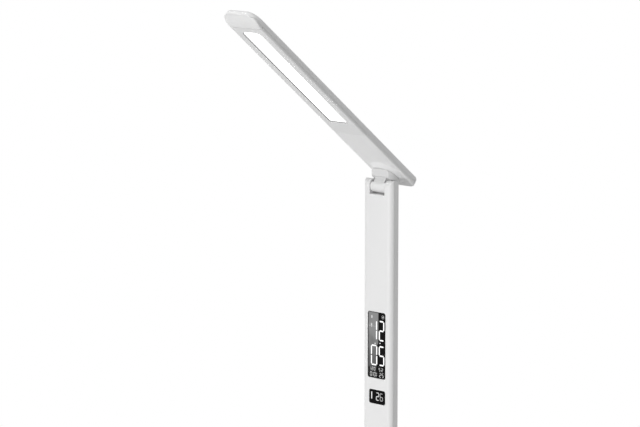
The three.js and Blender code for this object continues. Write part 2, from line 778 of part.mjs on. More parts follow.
// The rear cover of the head's underside, with the cone that the neck's turntable meets.
function headRearCover(form) {
  const span = [-headHeel - cutOverrun, coverReach - partingGap / 2];
  const tray = headSlice(form, span, [0, headSplit]);
  const pocket = headCavity([headWall - headHeel, coverReach + cutOverrun], [coverInside, headTop]);
  const bossUnder = neckTop + partingGap;
  const boss = turned([
    [0, bossUnder],
    [neckTopRadius, bossUnder],
    [bossRadius, headRise],
    [bossRadius, headRise + fuseDepth],
    [0, headRise + fuseDepth],
  ]);
  const core = turned([
    [0, bossUnder + bossWall],
    [neckTopRadius - bossWall, bossUnder + bossWall],
    [bossRadius - bossWall, coverInside],
    [bossRadius - bossWall, headTop],
    [0, headTop],
  ]).subtract(rod("z", hubRadius, [0, coverInside]));
  const bore = rod("z", stemRadius + fitGap, [0, headTop]);
  const clipSpan = [bossRadius, coverReach - clipWidth];
  const clips = coverClips(clipSpan, coverInside);
  return fuse([carve(tray.add(boss), [pocket, core, bore]), ...clips]);
}

// The light's outline, let out or drawn in all round.
function lightOutline(grow) {
  const length = [-lightEnd - grow, grow - lightStart];
  return outline(rectangle(about(0, lightWidth / 2 + grow), length, lightCorner + grow));
}

// The bezel: the flat underside round the light, clipped into the top shell.
function lampBezel(form) {
  const span = [coverReach + partingGap / 2, noseStart];
  const tray = headSlice(form, span, [0, headSplit]);
  const pocket = headCavity([coverReach - cutOverrun, cavityEnd], [bezelInside, headTop]);
  const opening = prism("z", lightOutline(0), [headRise - cutOverrun, headTop]);
  const clips = coverClips([coverReach + clipWidth, cavityEnd - clipWidth], bezelInside);
  return fuse([carve(tray, [pocket, opening]), ...clips]);
}

// The diffuser: a pad that stands in the bezel's opening, on a flange that lies behind it.
function diffuserPanel() {
  const flangeUnder = bezelInside + fitGap;
  const pad = prism("z", lightOutline(-fitGap), [headRise + diffuserRecess, flangeUnder + fuseDepth]);
  return pad.add(prism("z", lightOutline(diffuserFlange), [flangeUnder, diffuserTop]));
}

// The light board: a strip with rows of light-emitting diodes on its underside.
function ledBoard() {
  const half = lightWidth / 2 + ledBoardMargin;
  const span = [-lightEnd - ledBoardTail, ledBoardLead - lightStart];
  const strip = block(about(0, half), span, [ledBoardUnder, ledBoardTop]);
  const leds = [];
  for (let row = 0; row < ledRows; row += 1) {
    for (let i = 0; i < ledsPerRow; i += 1) {
      const x = ((row + 0.5) / ledRows - 0.5) * lightWidth;
      const y = -lightStart - ((i + 0.5) / ledsPerRow) * lightLength;
      const heights = [ledBoardUnder - ledHeight, ledBoardUnder + boardThickness / 2];
      leds.push(block(about(x, ledWidth / 2), about(y, ledLength / 2), heights));
    }
  }
  const holes = [-ledScrewHalf, ledScrewHalf].map((x) =>
    rod("z", ledScrew.shank + fitGap, [0, headTop], [x, -ledScrewReach]),
  );
  return carve(fuse([strip, ...leds]), holes);
}

// The base's outline in plan at an inset.
function baseOutline(inset = 0) {
  const radius = Math.max(baseCorner - inset, leastRadius);
  return outline(rectangle(about(0, baseWidth / 2 - inset), about(0, baseLength / 2 - inset), radius));
}

// Where the base's four screws stand, as [x, y].
function baseScrewPlaces() {
  const x = baseWidth / 2 - baseScrewInset;
  const y = baseLength / 2 - baseScrewInset;
  return [-y, y].flatMap((along) => [-x, x].map((across) => [across, along]));
}

// Where the stand's screws stand, as [x, y].
function standScrewPlaces() {
  return [-1, 1].map((side) => [(side * standScrewSpacing) / 2, standSetback]);
}

// The top shell of the base: rounded top, open underneath, with bosses, ribs and its three openings.
function baseTopShell() {
  const body = roundedSlab(baseOutline, [baseRimGap, baseHeight], 0, baseTopRadius);
  const hollow = prism("z", baseOutline(baseWall), [-cutOverrun, baseCeiling]);
  const bosses = baseScrewPlaces().map((place) =>
    rod("z", baseBossRadius, [weightUnder, baseCeiling + fuseDepth], place),
  );
  const padHalf = flangeWidth / 2 + standPadMargin;
  const padDepth = about(standSetback, flangeLength / 2 + standPadMargin);
  const pad = block(about(0, padHalf), padDepth, [standPadUnder, baseCeiling + fuseDepth]);
  const ribHeights = [weightTop + fitGap, baseCeiling + fuseDepth];
  const ribCount = 3;
  const ribs = Array.from({ length: ribCount }, (unused, i) => {
    const x = ((i + 0.5) / ribCount - 0.5) * weightWidth;
    return block(about(x, ribWidth / 2), [weightFront, weightRear], ribHeights);
  });
  const panel = rectangle(
    about(0, touchPanelWidth / 2 + fitGap),
    about(-touchPanelSetback, touchPanelLength / 2 + fitGap),
    touchPanelCorner + fitGap,
  );
  const inletWall = [baseLength / 2 - baseWall - cutOverrun, baseLength / 2 + cutOverrun];
  const inletHeightMiddle = weightUnder + inletHeight / 2;
  const standHole = postOutline(-fitGap).map((p) => new THREE.Vector2(p.x, p.y + standSetback));
  const cutters = [
    prism("z", standHole, [0, baseHeight + cutOverrun]),
    prism("z", outline(panel), [baseHeight - touchPanelRecess, baseHeight + cutOverrun]),
    rod("y", inletCollarRadius + fitGap, inletWall, [0, inletHeightMiddle]),
    ...baseScrewPlaces().map((place) =>
      rod("z", baseScrew.shank + fitGap, [0, padThickness + baseScrew.height + baseScrew.length + fitGap], place),
    ),
    ...standScrewPlaces().map((place) => rod("z", standScrew.shank + fitGap, [0, baseCeiling], place)),
  ];
  return carve(fuse([carve(body, [hollow]), ...bosses, pad, ...ribs]), cutters);
}

// The bottom plate, which closes the base inside the top shell's rim.
function baseBottomPlate() {
  const plate = prism("z", baseOutline(baseWall + fitGap), [padThickness, plateTop]);
  const cutters = baseScrewPlaces().flatMap((place) => [
    rod("z", baseScrew.shank + fitGap, [0, plateTop + cutOverrun], place),
    rod("z", baseScrew.head + fitGap, [0, padThickness + baseScrew.height + fitGap], place),
  ]);
  return carve(plate, cutters);
}

// The soft pad that the lamp stands on.
const antiSlipPad = () =>
  roundedSlab(
    (inset) => baseOutline(baseWall + fitGap + padMargin + inset),
    [0, padThickness],
    padThickness / 2,
    0,
  );

// The steel plate that keeps the lamp from tipping.
function baseWeight() {
  const slab = rectangle(about(0, weightWidth / 2), [weightFront, weightRear], weightCorner);
  return prism("z", outline(slab), [weightUnder, weightTop]);
}

// The stand: a screwed flange, a short column of the post's section, and the barrel in the post's slot.
function hingeStand() {
  const flange = outline(rectangle(about(0, flangeWidth / 2), about(0, flangeLength / 2), flangeCorner));
  const whole = fuse([
    prism("z", flange, [flangeUnder - foldHeight, flangeTop - foldHeight]),
    prism("z", postOutline(), [flangeTop - fuseDepth - foldHeight, standTop - foldHeight]),
    block(about(0, barrelHalf), about(0, webDepth / 2), [standTop - fuseDepth - foldHeight, 0]),
    rod("x", barrelRadius, about(0, barrelHalf)),
  ]);
  const holes = standScrewPlaces().map(([x]) =>
    rod("z", standScrew.shank + fitGap, [-foldHeight, flangeTop + fitGap - foldHeight], [x, 0]),
  );
  return carve(whole, [...barrelCutters(), ...holes]);
}

// The touch board, with a row of spring contacts that reach up to the top shell.
function touchBoard() {
  const half = touchPanelWidth / 2 + touchBoardMargin;
  const depth = about(-touchPanelSetback, touchPanelLength / 2 + touchBoardMargin);
  const board = block(about(0, half), depth, [touchBoardUnder, weightTop]);
  const springs = Array.from({ length: touchSprings }, (unused, i) => {
    const x = ((i + 0.5) / touchSprings - 0.5) * touchPanelWidth;
    const heights = [weightTop - fuseDepth, touchSpringTop];
    return rod("z", touchSpringRadius, heights, [x, -touchPanelSetback]);
  });
  return fuse([board, ...springs]);
}

// The touch panel, let into the base's top.
function touchPanel() {
  const face = rectangle(
    about(0, touchPanelWidth / 2),
    about(-touchPanelSetback, touchPanelLength / 2),
    touchPanelCorner,
  );
  const under = baseHeight - touchPanelRecess;
  return prism("z", outline(face), [under, under + touchPanelThickness]);
}

// The power inlet: a block behind the rear wall, a collar through it, and a pin in its bore.
function powerInlet() {
  const inside = baseLength / 2 - baseWall - fitGap;
  const middle = weightUnder + inletHeight / 2;
  const mouth = baseLength / 2 - fitGap;
  const centre = [0, middle];
  const back = [inside - inletLength, inside];
  const body = block(about(0, inletWidth / 2), back, about(middle, inletHeight / 2));
  const collar = rod("y", inletCollarRadius, [inside - fuseDepth, mouth], centre);
  const bore = rod("y", inletBoreRadius, [mouth - inletBoreDepth, mouth + cutOverrun], centre);
  const pinSpan = [mouth - inletBoreDepth - fuseDepth, mouth - windowRecess];
  const pin = rod("y", inletPinRadius, pinSpan, centre);
  return body.add(collar).subtract(bore).add(pin);
}

// The base group stands at the origin.
function buildBase() {
  const group = new THREE.Group();
  group.add(
    piece("base_top_shell", baseTopShell(), "shell"),
    piece("base_bottom_plate", baseBottomPlate(), "shell"),
    piece("anti_slip_pad", antiSlipPad(), "rubber"),
    piece("base_weight", baseWeight(), "steel"),
    piece("touch_board", touchBoard(), "board"),
    piece("touch_panel", touchPanel(), "touch"),
    piece("power_inlet", powerInlet(), "inlet"),
  );
  baseScrewPlaces().forEach(([x, y], i) => {
    const fastener = piece(`base_screw_${i + 1}`, screw(baseScrew), "steel");
    fastener.position.set(x, y, padThickness + baseScrew.height);
    group.add(fastener);
  });
  standScrewPlaces().forEach(([x, y], i) => {
    const fastener = piece(`stand_screw_${i + 1}`, screw(standScrew), "steel");
    fastener.position.set(x, y, flangeUnder - fitGap);
    group.add(fastener);
  });
  const hinge = new THREE.Group();
  hinge.position.set(0, standSetback, foldHeight);
  hinge.add(piece("hinge_stand", hingeStand(), "shell"), ...washerPair("fold"));
  group.add(hinge);
  return group;
}

// The two spring washers of a hinge.
function washerPair(hinge) {
  const left = piece(`${hinge}_washer_left`, springWasher(), "steel");
  const right = piece(`${hinge}_washer_right`, springWasher(), "steel");
  right.rotation.z = Math.PI;
  return [left, right];
}

// The post group stands on the fold hinge's axis.
function buildPost() {
  const group = new THREE.Group();
  group.position.set(0, standSetback, foldHeight);
  const form = postForm();
  group.add(
    piece("post_front_shell", postFrontShell(form), "shell"),
    piece("post_rear_shell", postRearShell(form), "shell"),
    piece("fold_hinge_pin", hingePin(), "steel"),
    piece("main_display_window", displayWindow(mainWindow), "screen"),
    piece("small_display_window", displayWindow(smallWindow), "screen"),
    piece("main_lcd", lcdModule(mainWindow), "lcd"),
    piece("small_lcd", lcdModule(smallWindow), "lcd"),
    piece("display_board", displayBoard(), "board"),
  );
  const headPin = piece("head_hinge_pin", hingePin(), "steel");
  headPin.position.z = postLength;
  const cellSpan = [boardBack + fitGap, boardBack + fitGap + cellThickness];
  const cell = piece("clock_cell", rod("y", cellRadius, cellSpan), "steel");
  cell.position.z = cellHeight;
  group.add(headPin, cell);
  buttonNames.forEach((name, i) => {
    const button = piece(name, pushButton(), "shell");
    button.position.z = buttonHeights[i];
    group.add(button);
  });
  postScrewPlaces().forEach(([x, z], i) => {
    const fastener = piece(`post_screw_${i + 1}`, screw(postScrew), "steel");
    fastener.position.set(x, postScrewFloor + fitGap / 2, z);
    fastener.rotation.x = Math.PI / 2;
    group.add(fastener);
  });
  return group;
}

// The head group sits on the head hinge's axis and is tilted up from level.
function buildHead() {
  const group = new THREE.Group();
  group.position.set(0, standSetback, foldHeight + postLength);
  group.rotation.x = -headTilt;
  const form = headForm();
  group.add(
    piece("swivel_neck", swivelNeck(), "neck"),
    piece("swivel_washer", swivelWasher(), "steel"),
    ...washerPair("head"),
    piece("head_top_shell", headTopShell(form), "shell"),
    piece("head_rear_cover", headRearCover(form), "shell"),
    piece("head_nose_cap", headNoseCap(form), "shell"),
    piece("lamp_bezel", lampBezel(form), "shell"),
    piece("diffuser", diffuserPanel(), "diffuser"),
    piece("led_board", ledBoard(), "board"),
  );
  const swivel = piece("swivel_screw", screw(swivelScrew), "steel");
  swivel.position.z = swivelScrewSeat;
  swivel.rotation.x = Math.PI;
  group.add(swivel);
  [-ledScrewHalf, ledScrewHalf].forEach((x, i) => {
    const fastener = piece(`led_board_screw_${i + 1}`, screw(ledScrew), "steel");
    fastener.position.set(x, -ledScrewReach, ledBoardUnder - fitGap);
    group.add(fastener);
  });
  return group;
}

const lamp = new THREE.Group();
lamp.name = "desk_lamp";
lamp.add(buildBase(), buildPost(), buildHead());

export default lamp;
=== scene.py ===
# %% [markdown]
# # A folding desk lamp round its CAD frame
# The lamp is a flat light head on a swivelling neck, a slim post with two displays and a weighted
# base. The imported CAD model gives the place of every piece, so the first step loads it. The
# surfaces below are worked out in millimetres and turned into metres once, when a mesh is made,
# because the sizes of small mouldings are easier to read that way.

# %% Load the frame
import json

import bpy
import numpy as np
from mathutils import Matrix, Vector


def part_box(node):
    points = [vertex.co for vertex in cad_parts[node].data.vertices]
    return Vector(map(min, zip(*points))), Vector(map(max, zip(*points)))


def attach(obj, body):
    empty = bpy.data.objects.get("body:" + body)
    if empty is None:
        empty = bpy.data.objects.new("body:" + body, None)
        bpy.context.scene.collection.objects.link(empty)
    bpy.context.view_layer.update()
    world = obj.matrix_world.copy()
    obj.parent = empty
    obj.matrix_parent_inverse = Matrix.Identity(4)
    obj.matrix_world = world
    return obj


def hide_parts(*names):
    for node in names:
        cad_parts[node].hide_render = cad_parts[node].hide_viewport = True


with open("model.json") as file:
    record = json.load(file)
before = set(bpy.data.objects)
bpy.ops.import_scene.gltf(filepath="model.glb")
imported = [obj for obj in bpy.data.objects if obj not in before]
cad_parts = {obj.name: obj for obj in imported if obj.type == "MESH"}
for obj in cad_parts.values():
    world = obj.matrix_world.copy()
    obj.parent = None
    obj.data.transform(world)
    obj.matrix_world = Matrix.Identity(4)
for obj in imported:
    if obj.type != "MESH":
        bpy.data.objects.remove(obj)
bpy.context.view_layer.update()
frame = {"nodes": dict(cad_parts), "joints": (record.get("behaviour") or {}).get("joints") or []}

MM = 0.001
joints = {joint["name"]: joint for joint in frame["joints"]}

# %% [markdown]
# ## Where things are
# Two hinge axes and one swivel axis place everything. The head is drawn lying flat, with its
# underside down and its tip towards -Y, and is then turned about the upper hinge. The angle comes
# from the swivel axis in the frame, so the head stays true to the CAD model.

# %% Hinges and the turn of the head
lower_hinge = np.array(joints["post_fold"]["pos_m"]) / MM
upper_hinge = np.array(joints["head_tilt"]["pos_m"]) / MM
swivel_axis = np.array(joints["head_swivel"]["axis"])
tilt = np.arctan2(swivel_axis[1], swivel_axis[2])


def on_head(points):
    """Turns points about X by the head's tilt and moves their origin to the upper hinge."""
    x, y, z = np.moveaxis(points, -1, 0)
    turned = [x, y * np.cos(tilt) + z * np.sin(tilt), z * np.cos(tilt) - y * np.sin(tilt)]
    return np.stack(turned, -1) + upper_hinge


def on_post(points):
    """Moves points that are drawn round the lower hinge to it."""
    return points + lower_hinge


print("the head is tilted", round(float(np.degrees(tilt)), 2), "degrees above level")

# %% [markdown]
# ## From arrays to a mesh
# Every surface below ends as an array of places and an array of quads. Places that coincide are
# welded first, so poles and seams close and a quad that has shrunk to a triangle or a line becomes
# one or goes. Smooth shading runs over the whole piece and stops at real edges, which are found by
# their angle.

# %% Make a mesh object
WELD_DIGITS, CREASE_ANGLE = 4, 32


def add_object(name, data):
    thing = bpy.data.objects.new(name, data)
    bpy.context.scene.collection.objects.link(thing)
    return thing


def make(name, points, quads, polygons=()):
    """Welds equal places, drops collapsed corners and puts the rest in a mesh at the origin."""
    places = np.round(points.reshape(-1, 3), WELD_DIGITS)
    places, index = np.unique(places, axis=0, return_inverse=True)
    index = index.reshape(-1)
    corners = index[quads]
    whole = (corners != np.roll(corners, -1, 1)).all(1)
    faces = corners[whole].tolist()
    for face in [*corners[~whole], *(index[list(polygon)] for polygon in polygons)]:
        kept = face[face != np.roll(face, -1)]
        if len(set(kept.tolist())) > 2:
            faces.append(kept.tolist())
    splits = np.cumsum([len(face) for face in faces])[:-1]
    used, flat = np.unique([corner for face in faces for corner in face], return_inverse=True)
    faces = [face.tolist() for face in np.split(flat, splits)]
    mesh = bpy.data.meshes.new(name)
    mesh.from_pydata((places[used] * MM).tolist(), [], faces)
    mesh.polygons.foreach_set("use_smooth", np.ones(len(mesh.polygons), bool))
    mesh.set_sharp_from_angle(angle=np.radians(CREASE_ANGLE))
    return add_object(name, mesh)


def open_edges(piece):
    """Counts the edges that don't have exactly two faces; a closed piece has none."""
    loops = np.empty(len(piece.data.loops), np.int64)
    piece.data.loops.foreach_get("edge_index", loops)
    return int((np.bincount(loops, minlength=len(piece.data.edges)) != 2).sum())


# %% [markdown]
# A net numbers the quads between neighbouring rows of points. A moulding is two skins that share
# one net of faces: the outer skin is seen, the inner one lies behind it by the thickness of the
# wall, and the two are sewn together along each free edge. A real moulded shell has just this form,
# so its openings show their wall, and no opening has to be cut.

# %% Nets, solid bodies and mouldings
def net(rows, columns, closed=True):
    """Quads between neighbouring rows of a grid whose points are numbered row by row."""
    i = np.arange(rows - 1)[:, None] * columns
    j = np.arange(columns if closed else columns - 1)[None]
    nxt = (j + 1) % columns
    return np.stack([i + j, i + nxt, i + columns + nxt, i + columns + j], -1).reshape(-1, 4)


def body(name, rings, place):
    """Rings of equally many points, listed from the underside up, closed by a face at both ends."""
    rings = np.array(rings)
    count, size = rings.shape[:2]
    ends = [range(size - 1, -1, -1), range((count - 1) * size, count * size)]
    return make(name, place(rings), net(count, size), ends)


def moulding(name, outer, inner, quads, place):
    """Sews two skins together: every edge that only one face uses gets a wall to the other skin."""
    outer, inner = np.reshape(outer, (-1, 3)), np.reshape(inner, (-1, 3))
    count = len(outer)
    whole = np.vstack([outer, inner])
    _, weld = np.unique(np.round(outer, WELD_DIGITS), axis=0, return_inverse=True)
    edges = np.stack([quads, np.roll(quads, -1, 1)], -1).reshape(-1, 2)
    ends = weld.reshape(-1)[edges]
    edges, ends = edges[ends[:, 0] != ends[:, 1]], ends[ends[:, 0] != ends[:, 1]]
    _, first, uses = np.unique(np.sort(ends, 1), axis=0, return_index=True, return_counts=True)
    free = edges[first[uses == 1]]
    walls = np.stack([free[:, 1], free[:, 0], free[:, 0] + count, free[:, 1] + count], -1)
    return make(name, place(whole), np.vstack([quads, quads[:, ::-1] + count, walls]))


# %% [markdown]
# Almost every outline on the lamp is a rectangle with round corners. A flat side would be shaded
# unevenly if its corner points took half of their direction from the round corner, so each arc has
# one more point just before it and one just after, on the straight side. At a sharp corner all
# these points are one.

# %% Outlines and rounded edges
LEAD = 0.25


def on_circle(angle):
    """Points (cos, sin) on a circle with a radius of one."""
    return np.stack([np.cos(angle), np.sin(angle)], -1)


def rounded(x, y, radii, across=(), along=(), steps=9):
    """Four quarter arcs, each a centre plus its radius times (cos, sin), joined by straight sides.

    The radii are one number, one for each corner, or a pair (x, y) for each corner."""
    (x0, x1), (y0, y1) = x, y
    radii = np.asarray(radii, float)
    radii = np.broadcast_to(radii if radii.ndim == 2 else radii[..., None], (4, 2))
    limit = 0.49 * min(x1 - x0, y1 - y0)
    radii = np.clip(radii, 0, limit)
    lead = (np.minimum(LEAD, limit - radii.max(1)) * (radii.min(1) > 0))[:, None, None]
    signs = np.array([[1, -1], [1, 1], [-1, 1], [-1, -1]])
    corners = np.array([[x1, y0], [x1, y1], [x0, y1], [x0, y0]])
    centres = corners - signs * radii
    angle = np.radians(np.array([-90, 0, 90, 180])[:, None] + np.linspace(0, 90, steps))
    arcs = centres[:, None] + radii[:, None] * on_circle(angle)
    way = np.stack([-np.sin(angle), np.cos(angle)], -1)
    before, after = arcs[:, :1] - lead * way[:, :1], arcs[:, -1:] + lead * way[:, -1:]
    arcs = np.concatenate([before, arcs, after], 1)

    def side(values, start, end, axis):
        low, high = sorted((arcs[start, -1, axis], arcs[end, 0, axis]))
        values = np.clip(np.asarray(values, float), low, high)
        points = np.repeat(arcs[start, -1:], len(values), 0)
        points[:, axis] = values if arcs[end, 0, axis] > arcs[start, -1, axis] else values[::-1]
        return points

    sides = [side(along, 0, 1, 1), side(across, 1, 2, 0), side(along, 2, 3, 1),
             side(across, 3, 0, 0)]
    return np.concatenate([part for pair in zip(arcs, sides) for part in pair])


def lift(outline, height):
    """Gives a flat outline its height."""
    return np.column_stack([outline, np.broadcast_to(height, len(outline))])


def mirrored(points):
    """The same points on the other side, from the last to the first."""
    return (points * [-1, 1])[::-1]


def lower_edge(radius, z, start=0):
    """Inset and height down the quarter round from an underside at z to the side, by angle."""
    angle = np.radians(np.linspace(start, 90, 8))
    arc = np.stack([radius * (1 - np.sin(angle)), z + radius * (1 - np.cos(angle))], -1)
    return np.vstack([arc, [0, z + radius + LEAD]])


def upper_edge(radius, z):
    """Inset and height up the quarter round from the side to a top at z, by angle."""
    angle = np.radians(np.linspace(0, 90, 9))
    arc = np.stack([radius * (1 - np.cos(angle)), z - radius * (1 - np.sin(angle))], -1)
    return np.vstack([[0, z - radius - LEAD], arc, [radius + LEAD, z]])


def lid(size, row):
    """Quads that close a ring which is its own mirror image, between points and mirror points."""
    i = np.arange(size // 2 - 1)
    return np.stack([i, i + 1, size - 2 - i, size - 1 - i], -1) + row * size


# %% [markdown]
# A small bevel on every sharp edge catches a thin line of light, as the edges of a mould do. A live
# modifier does it, with its normals kept true to the flat faces.

# %% Soften edges, give a piece its body, and check it against its CAD node
def put_on(piece, body_name):
    """The piece rides on a body."""
    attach(piece, body_name)
    return piece


def soften(piece, width, segments=2, angle=40):
    """Adds a live bevel of a width, on edges sharper than an angle."""
    bevel = piece.modifiers.new("soft edges", "BEVEL")
    bevel.width, bevel.segments = width * MM, segments
    bevel.limit_method, bevel.angle_limit = "ANGLE", np.radians(angle)
    bevel.harden_normals = True
    return piece


def stand_for(piece, node, body_name):
    """The piece rides on its body, hides its CAD node and prints how far the two boxes differ."""
    put_on(piece, body_name)
    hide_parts(node)
    bpy.context.view_layer.update()
    own = np.array(piece.bound_box)
    low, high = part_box(node)
    gap = max(np.abs(own.min(0) - np.array(low)).max(), np.abs(own.max(0) - np.array(high)).max())
    print(f"{piece.name}: {len(piece.data.polygons)} faces, {open_edges(piece)} open edges, "
          f"{gap / MM:.2f} mm from the CAD box")


# %% [markdown]
# ## Head: top shell
# The head is 42 mm wide and 8.6 mm thick. The top shell is its roof and sides, a slab with rounded
# upper edges that ends at a fine parting line. It could be a bevelled box, but the tip curves back
# below the parting line, so each level of the slab has its own length. Rings by level give that
# exactly.

# %% Head outline by level
HEAD_SIDE, HEAD_HEEL, HEAD_UNDER, HEAD_TOP = 21.0, 25.5, 15.4, 24.0
NOSE_START, NOSE_LENGTH, NOSE_RISE = 251.0, 18.0, 3.6
UNDER_ROUND, TOP_ROUND, TIP_CORNER, HEEL_CORNER = 1.5, 2.5, (11.5, 14.0), 8.5
HEAD_SPLIT, PARTING, WALL, FINE_EDGE = 18.46, 0.12, 1.6, 0.06
COVER_REACH, NOSE_GAP, LEAST_CORNER = 69.4, 0.45, 2.0


def nose_tip(z):
    """Length to the tip, which grows with the root of the height, and the corners' two radii.

    A corner starts at the same place at each level, so its radius along the head shrinks too."""
    missing = NOSE_LENGTH * (1 - np.sqrt(np.clip((z - HEAD_UNDER) / NOSE_RISE, 0, 1)))
    across, along = TIP_CORNER
    return NOSE_START + NOSE_LENGTH - missing, (across, max(along - missing, LEAST_CORNER))


def under_inset(z):
    """How far a level lies inside the sides: radius minus half the chord of the lower edge."""
    below = np.clip(HEAD_UNDER + UNDER_ROUND - z, 0, UNDER_ROUND)
    return UNDER_ROUND - np.sqrt(UNDER_ROUND**2 - below**2)


def head_outline(inset, z, rear=HEAD_HEEL, heel=HEEL_CORNER):
    """Outline of the head at a level; a rear end without corners is not drawn in."""
    tip, corner = nose_tip(z)
    radii = np.maximum(np.array([corner, (heel, heel), (heel, heel), corner]) - inset, 0)
    sides = (inset - HEAD_SIDE, HEAD_SIDE - inset)
    return rounded(sides, (inset - tip, rear - inset * (heel > 0)), radii, steps=13)


# %% Top shell
rim = HEAD_SPLIT + PARTING
levels = np.vstack([[FINE_EDGE, rim], [0, rim + FINE_EDGE], [0, HEAD_UNDER + NOSE_RISE],
                    upper_edge(TOP_ROUND, HEAD_TOP)])
outer = np.array([lift(head_outline(inset, z), z) for inset, z in levels])
inner = np.array([lift(head_outline(WALL + inset / 2, z), min(z, HEAD_TOP - WALL))
                  for inset, z in levels])
inner[..., 1] = np.maximum(inner[..., 1], WALL - NOSE_START)
rows, size = outer.shape[:2]
quads = np.vstack([net(rows, size), lid(size, rows - 1)])
top_shell = moulding("head_roof", outer, inner, quads, on_head)
stand_for(top_shell, "head_top_shell", "head")

# %% [markdown]
# ## Head: nose cap
# Under the parting line the tip curves back to the underside, which gives the head its thin, bright
# nose. Seen from the side the curve is a parabola that leaves the flat without a crease. Equal
# steps along it are the squares of equal steps in height, and each ring is a rectangle from a fixed
# rear edge to the tip at that height.

# %% Nose cap
FIRST_STEP, NOSE_LEVELS = 0.1, 16
last_step = np.sqrt((HEAD_SPLIT - FINE_EDGE - HEAD_UNDER) / NOSE_RISE)
heights = HEAD_UNDER + NOSE_RISE * np.linspace(FIRST_STEP, last_step, NOSE_LEVELS)**2
levels = [*zip(under_inset(heights), heights), (FINE_EDGE, HEAD_SPLIT)]
nose_back = -NOSE_START - NOSE_GAP
rings = [lift(head_outline(inset, z, nose_back, 0), z) for inset, z in levels]
nose = body("head_nose", rings, on_head)
stand_for(nose, "head_nose_cap", "head")

# %% [markdown]
# ## Head: lamp bezel
# The bezel is the flat underside round the light. Its net runs from the wall of the opening, round
# a small edge, across the flat, and up the rounded sides. Both of its ends are cut square at a
# parting line, so there the rings keep their place and only the sides are drawn in. The opening has
# wide corners at the tip and tight ones at the near end.

# %% Rings of a cover: flat underside, lower edge, side
HEEL_ONLY = np.array([0, 1, 1, 0])


def cover_rings(ends, heel=0.0, **lines):
    """Outlines by level between two ends; a heel with a plan radius is drawn in like the sides."""
    edge = lower_edge(UNDER_ROUND, HEAD_UNDER)
    levels = np.vstack([edge[:1] + [LEAD, 0], edge, [0, HEAD_SPLIT - FINE_EDGE],
                        [FINE_EDGE, HEAD_SPLIT]])
    rings = []
    for inset, z in levels:
        x, y = (inset - HEAD_SIDE, HEAD_SIDE - inset), (ends[0], ends[1] - inset * (heel > 0))
        rings.append(lift(rounded(x, y, HEEL_ONLY * max(heel - inset, 0), **lines), z))
    return rings


# %% Bezel
LIGHT_SIDE, LIGHT_START, LIGHT_END = 12.1, 89.8, 243.8
LIGHT_CORNERS = np.array([6.0, 2.2, 2.2, 6.0])


def light_outline(grow):
    """Outline of the light's opening, grown on all sides."""
    return rounded((-LIGHT_SIDE - grow, LIGHT_SIDE + grow), (-LIGHT_END - grow, grow - LIGHT_START),
                   LIGHT_CORNERS + grow)


BEZEL_BACK, OPENING_EDGE, END_WALL = HEAD_UNDER + 1.5, 0.3, 0.3
bezel_y = (-NOSE_START, -COVER_REACH - PARTING / 2)
outer = [lift(light_outline(0), BEZEL_BACK - 0.05)]
outer += [lift(light_outline(grow), HEAD_UNDER - z) for grow, z in upper_edge(OPENING_EDGE, 0)]
outer += cover_rings(bezel_y)
inner_x = (WALL - HEAD_SIDE, HEAD_SIDE - WALL)
within = rounded(inner_x, (bezel_y[0] + WALL, bezel_y[1] - END_WALL), 0)
inner = [lift(light_outline(0.01 * k), BEZEL_BACK) for k in range(len(outer) - 4)]
inner += [lift(within, BEZEL_BACK)] * 2 + [lift(within, HEAD_SPLIT)] * 2
bezel = moulding("light_bezel", outer, inner, net(len(outer), len(outer[0])), on_head)
stand_for(soften(bezel, 0.1), "lamp_bezel", "head")

# %% [markdown]
# A grey line runs beside the light. It is the shadow in the gap between the diffuser and the wall
# of the opening, painted as a thin grey strip that lines the wall. The strip is a hoop: a small
# rectangle, in the plane of inset and height, that is carried once round the opening.

# %% Painted shade strip round the light
def hoop(name, rings):
    """A hoop on the head; its rings go once round the section, and the last one is the first."""
    rings = np.array(rings)
    piece = put_on(make(name, on_head(rings), net(*rings.shape[:2])), "head")
    print(f"{name}:", open_edges(piece), "open edges")
    return piece


def section_levels(inset, height):
    """The corners of a rectangle between two insets and two heights, back to the first."""
    return [(inset[i], height[j]) for i, j in ((0, 0), (0, 1), (1, 1), (1, 0), (0, 0))]


levels = section_levels((-0.3, -0.02), (HEAD_UNDER + 1.4, HEAD_UNDER + 0.3))
# Painted shade: a thin grey strip that stands for the shadow in the gap beside the light.
shade_strip = hoop("light_seal", [lift(light_outline(grow), z) for grow, z in levels])

# %% [markdown]
# ## Head: rear cover and its cone
# The cover of the near end grows a low cone that meets the neck's turntable. Its net starts at the
# bore in the cone, as circles, and turns into the outline of the cover on the flat underside. Each
# ring point of a circle lies on the line from the middle to its outline point, so no quad twists.

# %% Rear cover
CONE_LOW, BORE, COVER_BACK = 11.8, 6.3, HEAD_UNDER + 2
cover_y = (-COVER_REACH + PARTING / 2, HEAD_HEEL)
lines = dict(across=np.linspace(-11, 11, 15), along=np.arange(-66.0, 15.0, 1.5))
edge = cover_rings(cover_y, HEEL_CORNER, **lines)
towards = edge[0][:, :2] / np.linalg.norm(edge[0][:, :2], axis=1, keepdims=True)
profile = [[BORE, CONE_LOW + 1], [BORE, CONE_LOW + 0.3], [BORE + 0.3, CONE_LOW], [14.6, CONE_LOW],
           [14.85, CONE_LOW], [15.08, CONE_LOW + 0.1], [15.2, CONE_LOW + 0.3], [15.4, 12.2],
           [17.6, 14.6], [18.1, 14.95], [18.6, 15.22], [19.1, 15.37], [19.4, HEAD_UNDER]]
outer = [lift(towards * radius, z) for radius, z in profile] + edge
within = rounded(inner_x, (cover_y[0] + END_WALL, HEAD_HEEL - WALL),
                 HEEL_ONLY * (HEEL_CORNER - WALL), **lines)
hub = np.linspace(BORE, BORE + 0.5, len(profile))
inner = [lift(towards * radius, COVER_BACK - 0.1 + 0.01 * k) for k, radius in enumerate(hub)]
inner += [lift(within, COVER_BACK)] * (len(edge) - 2) + [lift(within, HEAD_SPLIT)] * 2
rear_cover = moulding("rear_cover", outer, inner, net(len(outer), len(outer[0])), on_head)
